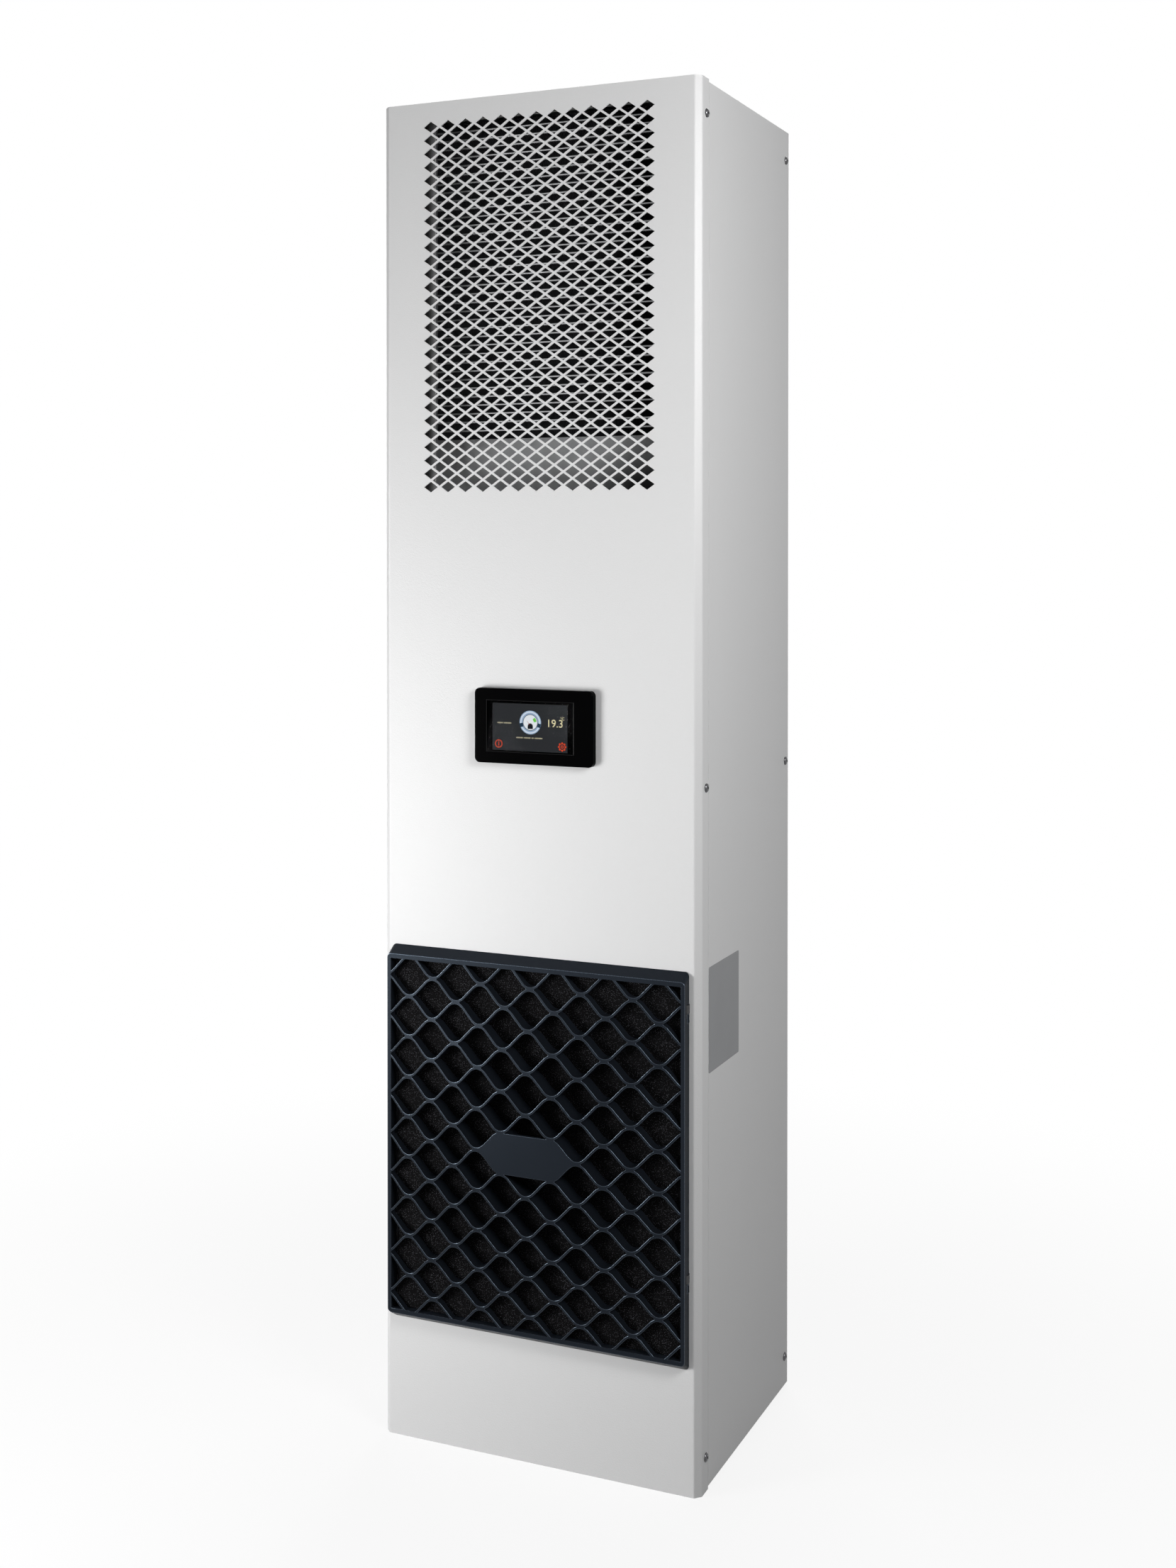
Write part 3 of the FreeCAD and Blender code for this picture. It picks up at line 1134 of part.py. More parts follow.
def evaporator_inlet_ring():
    """Flared inlet on the rear panel that leads the air into the rotor."""
    start = RADIAL_END_Y + INLET_OVERLAP_GAP
    length = INLET_RING_DEPTH
    narrow, wide = RADIAL_INLET_R, RADIAL_INLET_R + INLET_RING_FLARE
    centre, along = at(0, start, RADIAL_FAN_Z), at(0, 1, 0)
    outer = Part.makeCone(narrow, wide, length, centre, along)
    inner = Part.makeCone(narrow - INLET_RING_WALL, wide - INLET_RING_WALL, length, centre, along)
    return outer.cut(inner)


# Refrigerant lines

def pipe(points, radius):
    """Round pipe along straight runs joined by tangent bends."""
    edges = []
    start = points[0]
    for before, corner, after in zip(points, points[1:], points[2:]):
        toward = (before - corner).normalize()
        away = (after - corner).normalize()
        half = toward.getAngle(away) / 2
        cut_back = BEND_R / math.tan(half)
        first = corner + toward * cut_back
        last = corner + away * cut_back
        middle = corner + (toward + away).normalize() * (BEND_R / math.sin(half) - BEND_R)
        edges += [Part.makeLine(start, first), Part.Arc(first, middle, last).toShape()]
        start = last
    edges.append(Part.makeLine(start, points[-1]))
    section = Part.Wire(Part.makeCircle(radius, points[0], points[1] - points[0]))
    return Part.Wire(edges).makePipeShell([section], True, False)


def discharge_pipe():
    level = COMPRESSOR_TOP + DISCHARGE_RISE
    end = CONDENSER_BOTTOM - HEADER_OVERHANG
    return pipe([at(COMPRESSOR_X, COMPRESSOR_Y, COMPRESSOR_TOP), at(COMPRESSOR_X, COMPRESSOR_Y, level),
                 at(-HEADER_X, LINE_Y, level), at(-HEADER_X, LINE_Y, end)], DISCHARGE_R)


def liquid_pipe():
    """Line from the condenser through the drier and the valve to the lower evaporator header."""
    upper = pipe([at(HEADER_X, LINE_Y, CONDENSER_BOTTOM - HEADER_OVERHANG),
                  at(HEADER_X, LINE_Y, DRIER_Z + DRIER_LENGTH)], LIQUID_R)
    end = LOWER_HEADER[0] - EVAPORATOR_HEADER_R - PIPE_END_FIT
    lower = pipe([at(HEADER_X, LINE_Y, DRIER_Z), at(HEADER_X, LINE_Y, LOWER_HEADER[1]),
                  at(HEADER_X, end, LOWER_HEADER[1])], LIQUID_R)
    return Part.makeCompound([upper, lower])


def suction_pipe():
    end = UPPER_HEADER[0] - EVAPORATOR_HEADER_R - PIPE_END_FIT
    level = ACCUMULATOR_TOP + SUCTION_RISE
    return pipe([at(ACCUMULATOR_X, COMPRESSOR_Y, ACCUMULATOR_TOP), at(ACCUMULATOR_X, COMPRESSOR_Y, level),
                 at(SUCTION_X, COMPRESSOR_Y, level), at(SUCTION_X, COMPRESSOR_Y, UPPER_HEADER[1]),
                 at(SUCTION_X, end, UPPER_HEADER[1])], SUCTION_R)


def filter_drier():
    shoulder = DRIER_Z + DRIER_LENGTH - DRIER_NECK
    body = cylinder_z(HEADER_X, LINE_Y, DRIER_R, (DRIER_Z + DRIER_NECK, shoulder))
    low = Part.makeCone(LIQUID_R, DRIER_R, DRIER_NECK, at(HEADER_X, LINE_Y, DRIER_Z))
    high = Part.makeCone(DRIER_R, LIQUID_R, DRIER_NECK, at(HEADER_X, LINE_Y, shoulder))
    return body.fuse([low, high]).removeSplitter()


def expansion_valve():
    span = (VALVE_Z, VALVE_Z + VALVE_LENGTH)
    body = cylinder_z(HEADER_X, LINE_Y, VALVE_R, span)
    head = cylinder_x(LINE_Y, VALVE_Z + VALVE_LENGTH / 2, VALVE_HEAD_R / 2,
                      (HEADER_X - VALVE_R - VALVE_HEAD_H, HEADER_X))
    return body.fuse(head).cut(cylinder_z(HEADER_X, LINE_Y, LIQUID_R, span))


# Electrics

def control_box():
    outer = box(about(0, CONTROL_W), (CONTROL_Y, PARTITION_Y), (CONTROL_Z, CONTROL_TOP))
    inner_w = CONTROL_W - 2 * CONTROL_SHEET
    inner = box(about(0, inner_w), (CONTROL_Y, CONTROL_BACK),
                (CONTROL_Z + CONTROL_SHEET, CONTROL_TOP - CONTROL_SHEET))
    posts = []
    for x in about(0, BOARD_W - 4 * BOARD_POST_R):
        for z in (BOARD_Z + 2 * BOARD_POST_R, BOARD_Z + BOARD_H - 2 * BOARD_POST_R):
            posts.append(cylinder_y(x, z, BOARD_POST_R, (CONTROL_BACK - BOARD_STANDOFF, CONTROL_BACK)))
    return outer.cut(inner).fuse(posts)


def control_box_lid():
    return box(about(0, CONTROL_W), (CONTROL_Y - CONTROL_SHEET, CONTROL_Y), (CONTROL_Z, CONTROL_TOP))


def control_board():
    return box(about(0, BOARD_W), (BOARD_Y, BOARD_Y + BOARD_THICKNESS), (BOARD_Z, BOARD_Z + BOARD_H))


def terminal_block():
    """Row of clamps on the box's back wall: a stepped rail profile."""
    low = CONTROL_Z + CONTROL_SHEET + CONTROL_MARGIN
    foot = box(about(0, TERMINAL_W), (CONTROL_BACK - TERMINAL_DEPTH, CONTROL_BACK), (low, low + TERMINAL_H))
    step = box(about(0, TERMINAL_W), (CONTROL_BACK - TERMINAL_DEPTH, CONTROL_BACK - TERMINAL_DEPTH / 2),
               (low + TERMINAL_H / 2, low + TERMINAL_H))
    return foot.cut(step)


def run_capacitor():
    x = CONTROL_W / 2 - CONTROL_SHEET - CAPACITOR_R - CONTROL_SHEET
    low = CONTROL_Z + CONTROL_SHEET + CONTROL_MARGIN + TERMINAL_H + CONTROL_MARGIN
    return cylinder_z(x, CONTROL_BACK - CAPACITOR_R, CAPACITOR_R, (low, low + CAPACITOR_LENGTH))


def power_connector():
    """Rear power inlet block with a recessed mouth."""
    body = box(about(0, CONNECTOR_W), (CASE_DEPTH - CONNECTOR_DEPTH, CASE_DEPTH + CONNECTOR_PROUD),
               about(CONNECTOR_Z, CONNECTOR_H))
    mouth = box(about(0, CONNECTOR_W - 2 * CONNECTOR_POCKET),
                (CASE_DEPTH - CONNECTOR_DEPTH / 2, CASE_DEPTH + CONNECTOR_PROUD),
                about(CONNECTOR_Z, CONNECTOR_H - 2 * CONNECTOR_POCKET))
    return body.cut(mouth)


PIECES = {
    "front_cover": front_cover,
    "outlet_screen": outlet_screen,
    "right_side_panel": right_side_panel,
    "left_side_panel": lambda: mirrored(right_side_panel()),
    "top_panel": top_panel,
    "base_tray": base_tray,
    "rear_panel": rear_panel,
    "rear_gasket": rear_gasket,
    "casing_screws": casing_screws,
    "mounting_nuts": mounting_nuts,
    "lifting_nuts": lifting_nuts,
    "intake_grille": intake_grille,
    "grille_catches": grille_catches,
    "filter_mat": filter_mat,
    "grille_hinge_brackets": grille_hinge_brackets,
    "grille_hinge_pins": grille_hinge_pins,
    "display_bezel": display_bezel,
    "display_glass": display_glass,
    "display_panel": display_panel,
    "display_back_box": display_back_box,
    "compressor_shell": compressor_shell,
    "compressor_grommets": compressor_grommets,
    "compressor_bolts": compressor_bolts,
    "compressor_terminal_cover": compressor_terminal_cover,
    "accumulator": accumulator,
    "accumulator_clamp": accumulator_clamp,
    "condenser_tubes": condenser_tubes,
    "condenser_fins": condenser_fins,
    "condenser_headers": condenser_headers,
    "coil_duct": coil_duct,
    "air_baffle": air_baffle,
    "fan_shroud": fan_shroud,
    "fan_bracket": fan_bracket,
    "condenser_fan_motor": condenser_fan_motor,
    "condenser_fan_impeller": condenser_fan_impeller,
    "partition_wall": partition_wall,
    "evaporator_tubes": evaporator_tubes,
    "evaporator_fins": evaporator_fins,
    "evaporator_headers": evaporator_headers,
    "evaporator_brackets": evaporator_brackets,
    "condensate_tray": condensate_tray,
    "drain_pipe": drain_pipe,
    "evaporator_fan_motor": evaporator_fan_motor,
    "evaporator_fan_impeller": evaporator_fan_impeller,
    "evaporator_inlet_ring": evaporator_inlet_ring,
    "discharge_pipe": discharge_pipe,
    "liquid_pipe": liquid_pipe,
    "suction_pipe": suction_pipe,
    "filter_drier": filter_drier,
    "expansion_valve": expansion_valve,
    "control_box": control_box,
    "control_box_lid": control_box_lid,
    "control_board": control_board,
    "terminal_block": terminal_block,
    "run_capacitor": run_capacitor,
    "power_connector": power_connector,
}


def main():
    os.makedirs("parts", exist_ok=True)
    for name, make in PIECES.items():
        shape = make()
        shape.translate(at(0, FRONT_Y, 0))
        shape.exportStep("parts/" + name + ".step")
        print(name, len(shape.Solids), round(shape.Volume))


main()
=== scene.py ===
# %% [markdown]
# # Dressing an enclosure air conditioner
# The unit is a tall sheet-metal cabinet that hangs on the door of an electrical enclosure. Its solids come
# from the CAD model and stay where they are. This lesson adds what CAD leaves plain: finishes for every
# surface, the diamond-punched air outlet, the folded coil fins, the soft edges of the moulded grille, the
# foam filter, the lit screen and the screw heads. Everything is in metres, with Z up and the front facing -Y.

# %% Load the CAD frame
import json
import math

import bmesh
import bpy
from mathutils import Matrix, Vector, noise
from mathutils.bvhtree import BVHTree


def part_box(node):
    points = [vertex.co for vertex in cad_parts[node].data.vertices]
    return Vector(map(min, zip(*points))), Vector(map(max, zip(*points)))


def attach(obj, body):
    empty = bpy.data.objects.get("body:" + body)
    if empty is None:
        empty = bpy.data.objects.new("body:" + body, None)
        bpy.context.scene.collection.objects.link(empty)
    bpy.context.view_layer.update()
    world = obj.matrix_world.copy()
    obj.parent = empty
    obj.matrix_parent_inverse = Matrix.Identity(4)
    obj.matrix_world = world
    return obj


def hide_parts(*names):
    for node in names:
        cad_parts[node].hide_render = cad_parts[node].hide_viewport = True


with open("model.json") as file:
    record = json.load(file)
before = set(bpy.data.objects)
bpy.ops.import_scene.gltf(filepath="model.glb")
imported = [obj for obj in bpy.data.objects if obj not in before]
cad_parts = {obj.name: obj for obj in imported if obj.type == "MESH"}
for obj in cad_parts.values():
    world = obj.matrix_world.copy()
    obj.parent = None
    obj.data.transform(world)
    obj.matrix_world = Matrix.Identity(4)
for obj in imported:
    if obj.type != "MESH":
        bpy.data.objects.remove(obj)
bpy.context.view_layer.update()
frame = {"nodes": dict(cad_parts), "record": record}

cad_nodes = frame["nodes"]
MM = 0.001
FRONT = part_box("front_cover")[0].y
print("nodes:", len(cad_nodes), "front sheet at y =", round(FRONT, 5))


# %% [markdown]
# ## From a bmesh to a piece
# Every piece ends the same way: doubles are merged, the normals are turned outwards, and the mesh becomes an
# object that rides on one of the moving bodies. Doing this in one helper keeps the later cells about shape
# only. Sharp edges are marked by angle, so that round forms shade smoothly and folds stay crisp.

# %% Helper that finishes a piece
MERGE_DISTANCE = 1e-7


def mesh_from(bm, name):
    mesh = bpy.data.meshes.new(name)
    bm.to_mesh(mesh)
    bm.free()
    return mesh


def add_object(name, data):
    thing = bpy.data.objects.new(name, data)
    bpy.context.collection.objects.link(thing)
    return thing


def make_piece(name, bm, body, material, stands_for=(), sharp_degrees=35):
    bmesh.ops.remove_doubles(bm, verts=bm.verts, dist=MERGE_DISTANCE)
    bmesh.ops.recalc_face_normals(bm, faces=bm.faces)
    mesh = mesh_from(bm, name)
    mesh.shade_smooth()
    mesh.set_sharp_from_angle(angle=math.radians(sharp_degrees))
    mesh.materials.append(material)
    piece = add_object(name, mesh)
    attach(piece, body)
    if stands_for:
        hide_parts(*stands_for)
    print(name, "has", len(mesh.polygons), "faces and rides on", body)
    return piece


print("piece helper ready")


# %% [markdown]
# ## Effects that several finishes share
# Paint, moulded plastic and sheet metal all drift a little in tone and all have a fine grain. Each effect
# could be rebuilt in every material, but a shader node group is built once and placed with its own values.
# The groups read Object coordinates, so a scale of 700 means detail of about one and a half millimetres.

# %% Values and links in a node tree
def set_or_link(tree, socket, value):
    if isinstance(value, (int, float, tuple)):
        socket.default_value = value
    else:
        tree.links.new(value, socket)


def math_node(tree, operation, *values):
    node = tree.nodes.new("ShaderNodeMath")
    node.operation = operation
    for socket, value in zip(node.inputs, values):
        set_or_link(tree, socket, value)
    return node.outputs["Value"]


print("value helpers ready")


# %% Textures, shades and groups
def object_texture(tree, kind, scale):
    texture = tree.nodes.new(kind)
    set_or_link(tree, texture.inputs["Scale"], scale)
    place = tree.nodes.new("ShaderNodeTexCoord")
    tree.links.new(place.outputs["Object"], texture.inputs["Vector"])
    return texture


def noise_node(tree, scale, detail):
    cloud = object_texture(tree, "ShaderNodeTexNoise", scale)
    cloud.inputs["Detail"].default_value = detail
    return cloud.outputs["Fac"]


def shade_color(tree, color, value):
    shade = tree.nodes.new("ShaderNodeHueSaturation")
    tree.links.new(color, shade.inputs["Color"])
    tree.links.new(value, shade.inputs["Value"])
    return shade.outputs["Color"]


def new_group(name, inputs, outputs):
    tree = bpy.data.node_groups.new(name, "ShaderNodeTree")
    for label, kind, start in inputs:
        socket = tree.interface.new_socket(label, in_out="INPUT", socket_type=kind)
        socket.default_value = start
    for label, kind in outputs:
        tree.interface.new_socket(label, in_out="OUTPUT", socket_type=kind)
    return tree, tree.nodes.new("NodeGroupInput"), tree.nodes.new("NodeGroupOutput")


print("node helpers ready")


# %% Tone drift: a colour that varies softly over the surface
DRIFT_DETAIL = 4.0
PLAIN_GREY = (0.8, 0.8, 0.8, 1.0)


def build_tone_drift():
    tree, start, end = new_group(
        "tone_drift",
        [("Color", "NodeSocketColor", PLAIN_GREY),
         ("Amount", "NodeSocketFloat", 0.08),
         ("Size", "NodeSocketFloat", 4.0)],
        [("Color", "NodeSocketColor")])
    cloud = noise_node(tree, start.outputs["Size"], DRIFT_DETAIL)
    loss = math_node(tree, "MULTIPLY", cloud, start.outputs["Amount"])
    keep = math_node(tree, "SUBTRACT", 1.0, loss)
    tree.links.new(shade_color(tree, start.outputs["Color"], keep), end.inputs["Color"])
    return tree


tone_drift = build_tone_drift()
print("built", tone_drift.name)


# %% Fine grain: the height and gloss of a textured surface
GRAIN_DETAIL = 2.0
NOISE_MIDDLE = 0.5


def build_fine_grain():
    tree, start, end = new_group(
        "fine_grain",
        [("Size", "NodeSocketFloat", 700.0),
         ("Roughness", "NodeSocketFloat", 0.5),
         ("Spread", "NodeSocketFloat", 0.1)],
        [("Height", "NodeSocketFloat"), ("Roughness", "NodeSocketFloat")])
    grain = noise_node(tree, start.outputs["Size"], GRAIN_DETAIL)
    centred = math_node(tree, "SUBTRACT", grain, NOISE_MIDDLE)
    swing = math_node(tree, "MULTIPLY", centred, start.outputs["Spread"])
    gloss = math_node(tree, "ADD", swing, start.outputs["Roughness"])
    tree.links.new(grain, end.inputs["Height"])
    tree.links.new(gloss, end.inputs["Roughness"])
    return tree


fine_grain = build_fine_grain()
print("built", fine_grain.name)


# %% [markdown]
# ## A finish from the two groups
# Most finishes are a base colour that drifts and a grain that roughens it, with different values. One
# function places both groups, and the special finishes add their own nodes to what it returns. Numbers that
# are the same all over the surface are set straight on the shader.

# %% Place a group in a material
def place_group(tree, group, values):
    node = tree.nodes.new("ShaderNodeGroup")
    node.node_tree = group
    for label, value in values.items():
        node.inputs[label].default_value = value
    return node


def skin_inputs(material):
    return material.node_tree.nodes["Principled BSDF"].inputs


print("group placement ready")


# %% Build a finish
def make_finish(name, color, roughness, metallic=0.0, specular=0.5, drift=0.08, drift_size=4.0,
                grain=700.0, spread=0.1, bump=0.1, depth=0.1):
    material = bpy.data.materials.new(name)
    material.use_nodes = True
    tree = material.node_tree
    skin = skin_inputs(material)
    skin["Metallic"].default_value = metallic
    skin["Specular IOR Level"].default_value = specular
    tone = place_group(tree, tone_drift, {"Color": (*color, 1.0), "Amount": drift, "Size": drift_size})
    tone.name = "tone"
    tree.links.new(tone.outputs["Color"], skin["Base Color"])
    texture = place_group(tree, fine_grain, {"Size": grain, "Roughness": roughness, "Spread": spread})
    texture.name = "grain"
    tree.links.new(texture.outputs["Roughness"], skin["Roughness"])
    relief = tree.nodes.new("ShaderNodeBump")
    relief.name = "relief"
    relief.inputs["Strength"].default_value = bump
    relief.inputs["Distance"].default_value = depth * MM
    tree.links.new(texture.outputs["Height"], relief.inputs["Height"])
    tree.links.new(relief.outputs["Normal"], skin["Normal"])
    return material


finishes = {}


def add_finish(name, color, roughness, **more):
    finishes[name] = make_finish(name, color, roughness, **more)
    return finishes[name]


print("finish builder ready")


# %% [markdown]
# ## Paints and plastics
# The casing has a near-white powder coat with a fine orange-peel texture. The grille is satin plastic in a
# dark blue black, and the display bezel is glossy black. The differences are in colour, gloss and grain size,
# so plain values are enough. The coat loses its gloss at grazing angles, as a rough paint does. On a dark
# moulding the flat faces look nearly black and only the rounded edges catch the lamps. The pieces made later
# carry a face attribute named rim on those edges, and two finishes read it to turn up the gloss there.

# %% Gloss that depends on the place or the angle
RIM_SMOOTHER = 0.2
FADE_POWER = 2.0


def add_rim_gloss(material, flat, edge):
    tree = material.node_tree
    rim = tree.nodes.new("ShaderNodeAttribute")
    rim.attribute_name = "rim"
    gloss = math_node(tree, "MULTIPLY_ADD", rim.outputs["Fac"], edge - flat, flat)
    tree.links.new(gloss, skin_inputs(material)["Specular IOR Level"])
    roughness = tree.nodes["grain"].inputs["Roughness"]
    satin = roughness.default_value
    smooth = math_node(tree, "MULTIPLY_ADD", rim.outputs["Fac"], -RIM_SMOOTHER * satin, satin)
    tree.links.new(smooth, roughness)


def add_grazing_fade(material, level):
    tree = material.node_tree
    tilt = tree.nodes.new("ShaderNodeLayerWeight")
    tilt.inputs["Blend"].default_value = 0.5
    square_on = math_node(tree, "SUBTRACT", 1.0, tilt.outputs["Facing"])
    gloss = math_node(tree, "MULTIPLY", math_node(tree, "POWER", square_on, FADE_POWER), level)
    tree.links.new(gloss, skin_inputs(material)["Specular IOR Level"])


print("gloss helpers ready")


# %% Paints and plastics
# Blue tint on the grille's gloss: a painted bluish reflection.
BLUE_SHEEN = (0.62, 0.79, 1.0, 1.0)

powder_coat = add_finish("powder_coat", (0.80, 0.80, 0.80), 0.38, drift=0.03, drift_size=2.5, grain=720.0,
                         spread=0.14, bump=0.65, depth=0.3)
add_grazing_fade(powder_coat, level=0.42)
grille_plastic = add_finish("grille_plastic", (0.0125, 0.0155, 0.021), 0.34, drift=0.2, drift_size=14.0,
                            grain=1500.0, spread=0.16, bump=0.08, depth=0.05)
skin_inputs(grille_plastic)["Specular Tint"].default_value = BLUE_SHEEN
add_rim_gloss(grille_plastic, flat=0.1, edge=0.85)
bezel_plastic = add_finish("bezel_plastic", (0.0012, 0.0012, 0.0014), 0.14, drift=0.3, drift_size=60.0,
                           grain=2600.0, spread=0.08, bump=0.02, depth=0.02)
add_rim_gloss(bezel_plastic, flat=0.01, edge=0.3)
add_finish("black_plastic", (0.02, 0.021, 0.023), 0.5, drift=0.3, drift_size=30.0, grain=1300.0, bump=0.15,
           depth=0.06)
add_finish("black_paint", (0.018, 0.018, 0.019), 0.34, drift=0.25, drift_size=12.0, grain=500.0, bump=0.12)
add_finish("tray_plastic", (0.5, 0.52, 0.54), 0.42, drift=0.1, drift_size=16.0, grain=900.0, depth=0.06)
add_finish("terminal_plastic", (0.42, 0.44, 0.42), 0.4, drift=0.12, drift_size=40.0, grain=1600.0, depth=0.04)
print("paints and plastics:", len(finishes))


# %% [markdown]
# ## Bare metals
# Zinc-dipped sheet freezes into flat crystals, the spangle, so its tone and gloss change from cell to cell.
# A Voronoi texture gives each cell its own value. Copper and brass get brown oxide patches where a soft noise
# is high. Several finishes share each of the two, so both are groups.

# %% Zinc spangle: crystals that differ in tone and gloss
SPANGLE_SCALE = 85.0
SPANGLE_ROUGHNESS = 0.3
SPANGLE_SPREAD = 0.16


def mix_colors(tree, share, first, second):
    mix = tree.nodes.new("ShaderNodeMix")
    mix.data_type = "RGBA"
    for label, value in (("Factor", share), ("A", first), ("B", second)):
        set_or_link(tree, mix.inputs[label], value)
    return mix.outputs["Result"]


def pick_color(tree, color):
    pick = tree.nodes.new("ShaderNodeSeparateColor")
    tree.links.new(color, pick.inputs["Color"])
    return pick.outputs


def build_zinc_spangle():
    tree, start, end = new_group(
        "zinc_spangle",
        [("Bright", "NodeSocketColor", PLAIN_GREY), ("Dull", "NodeSocketColor", PLAIN_GREY)],
        [("Color", "NodeSocketColor"), ("Roughness", "NodeSocketFloat")])
    crystal = object_texture(tree, "ShaderNodeTexVoronoi", SPANGLE_SCALE)
    lot = pick_color(tree, crystal.outputs["Color"])
    tone = mix_colors(tree, lot["Red"], start.outputs["Dull"], start.outputs["Bright"])
    gloss = math_node(tree, "MULTIPLY_ADD", lot["Green"], SPANGLE_SPREAD, SPANGLE_ROUGHNESS)
    tree.links.new(tone, end.inputs["Color"])
    tree.links.new(gloss, end.inputs["Roughness"])
    return tree


zinc_spangle = build_zinc_spangle()
print("built", zinc_spangle.name)


# %% Zinc-dipped and zinc-plated steel
PLAIN_ZINC = (0.3, 0.31, 0.32)


def add_spangle(material, bright, dull):
    tree = material.node_tree
    crystals = place_group(tree, zinc_spangle, {"Bright": (*bright, 1.0), "Dull": (*dull, 1.0)})
    tree.links.new(crystals.outputs["Color"], tree.nodes["tone"].inputs["Color"])
    tree.links.new(crystals.outputs["Roughness"], tree.nodes["grain"].inputs["Roughness"])


galvanised = add_finish("galvanised_sheet", PLAIN_ZINC, 0.42, metallic=0.35, drift=0.15, grain=900.0,
                        bump=0.08, depth=0.05)
add_spangle(galvanised, (0.345, 0.35, 0.35), (0.255, 0.26, 0.26))
add_finish("zinc_steel", (0.62, 0.63, 0.64), 0.28, metallic=1.0, drift=0.25, drift_size=120.0, grain=1400.0,
           spread=0.2, depth=0.03)
print("zinc finishes ready")


# %% Oxide patches: another colour where a soft noise is high
PATCH_DETAIL = 5.0


def ramp_node(tree, value, start, end, low=0.0, high=1.0, smooth=False):
    ramp = tree.nodes.new("ShaderNodeMapRange")
    if smooth:
        ramp.interpolation_type = "SMOOTHSTEP"
    for label, level in (("From Min", start), ("From Max", end), ("To Min", low), ("To Max", high)):
        set_or_link(tree, ramp.inputs[label], level)
    tree.links.new(value, ramp.inputs["Value"])
    return ramp.outputs["Result"]


def build_oxide_patches():
    tree, start, end = new_group(
        "oxide_patches",
        [("Color", "NodeSocketColor", PLAIN_GREY),
         ("Patch", "NodeSocketColor", PLAIN_GREY),
         ("Size", "NodeSocketFloat", 50.0),
         ("Low", "NodeSocketFloat", 0.5),
         ("High", "NodeSocketFloat", 0.75)],
        [("Color", "NodeSocketColor")])
    cloud = noise_node(tree, start.outputs["Size"], PATCH_DETAIL)
    mask = ramp_node(tree, cloud, start.outputs["Low"], start.outputs["High"])
    tone = mix_colors(tree, mask, start.outputs["Color"], start.outputs["Patch"])
    tree.links.new(tone, end.inputs["Color"])
    return tree


oxide_patches = build_oxide_patches()
print("built", oxide_patches.name)


# %% Coil, copper and brass
def add_patches(material, patch, size, low, high):
    tree = material.node_tree
    base = tree.nodes["tone"].inputs["Color"]
    patches = place_group(tree, oxide_patches, {"Color": tuple(base.default_value), "Patch": (*patch, 1.0),
                                                "Size": size, "Low": low, "High": high})
    tree.links.new(patches.outputs["Color"], base)


add_finish("coil_aluminium", (0.24, 0.245, 0.25), 0.45, metallic=0.5, drift=0.3, drift_size=40.0, grain=900.0,
           depth=0.04)
copper = add_finish("copper", (0.78, 0.40, 0.25), 0.3, metallic=1.0, drift=0.15, drift_size=20.0, grain=800.0,
                    spread=0.2, bump=0.06, depth=0.04)
add_patches(copper, (0.36, 0.17, 0.10), size=35.0, low=0.5, high=0.72)
brass = add_finish("valve_brass", (0.70, 0.52, 0.24), 0.28, metallic=1.0, drift=0.2, drift_size=60.0,
                   grain=1200.0, spread=0.16, bump=0.06, depth=0.03)
add_patches(brass, (0.42, 0.30, 0.14), size=90.0, low=0.55, high=0.75)
print("coil, copper and brass ready")


# %% [markdown]
# ## The coil duct and the baffle
# Through the outermost diamonds the sheet wall of the coil duct shows. Little light gets to its front edge,
# so the finish paints shade there and a lighter tone deeper in, and a rough pale bead runs along the coil.
# Both depend only on the depth behind the front sheet, so the finish reads the Y coordinate. A noise shifts
# the bead to and fro. The baffle below the coil gets painted shade towards two of its corners. There the
# finish reads a slanting mix of X and Z.

# %% Duct wall
# Painted shade on the duct wall: dark at the front sheet, full tone deep inside.
SHADE_DARK_AT = 24 * MM
SHADE_GONE_AT = 56 * MM
SHADE_LEAST = 0.04
BEAD_PLACE = 48 * MM
BEAD_WIDTH = 4.5 * MM
BEAD_WOBBLE = 14 * MM
BEAD_COLOR = (0.9, 0.9, 0.88, 1.0)
WOBBLE_SCALE = 90.0
WOBBLE_DETAIL = 3.0


def object_axes(tree):
    place = tree.nodes.new("ShaderNodeTexCoord")
    axes = tree.nodes.new("ShaderNodeSeparateXYZ")
    tree.links.new(place.outputs["Object"], axes.inputs["Vector"])
    return axes.outputs


# The depth ramp paints shade near the front sheet; the bead is a pale wavy band along the coil.
def add_depth_shade(material):
    tree = material.node_tree
    behind = math_node(tree, "SUBTRACT", object_axes(tree)["Y"], FRONT)
    fade = ramp_node(tree, behind, SHADE_DARK_AT, SHADE_GONE_AT, SHADE_LEAST, smooth=True)
    depth_shaded_tone = shade_color(tree, tree.nodes["tone"].outputs["Color"], fade)
    wobble = math_node(tree, "MULTIPLY", noise_node(tree, WOBBLE_SCALE, WOBBLE_DETAIL), BEAD_WOBBLE)
    shifted = math_node(tree, "SUBTRACT", behind, wobble)
    from_bead = math_node(tree, "SUBTRACT", shifted, BEAD_PLACE - BEAD_WOBBLE / 2)
    on_bead = math_node(tree, "LESS_THAN", math_node(tree, "ABSOLUTE", from_bead), BEAD_WIDTH / 2)
    tree.links.new(mix_colors(tree, on_bead, depth_shaded_tone, BEAD_COLOR), skin_inputs(material)["Base Color"])


duct_sheet = make_finish("duct_sheet", PLAIN_ZINC, 0.5, specular=0.1, drift=0.2, grain=900.0, bump=0.08,
                         depth=0.05)
add_spangle(duct_sheet, (0.72, 0.72, 0.72), (0.60, 0.60, 0.60))
add_depth_shade(duct_sheet)
print("duct wall ready")


# %% Baffle
# Painted shade on the baffle, darker towards its upper left and lower right corners.
SHADE_SLANT_SLOPE = 1.3
CORNER_SHADE_ENDS = ((-230 * MM, -40 * MM, 0.5), (165 * MM, 20 * MM, 0.02))
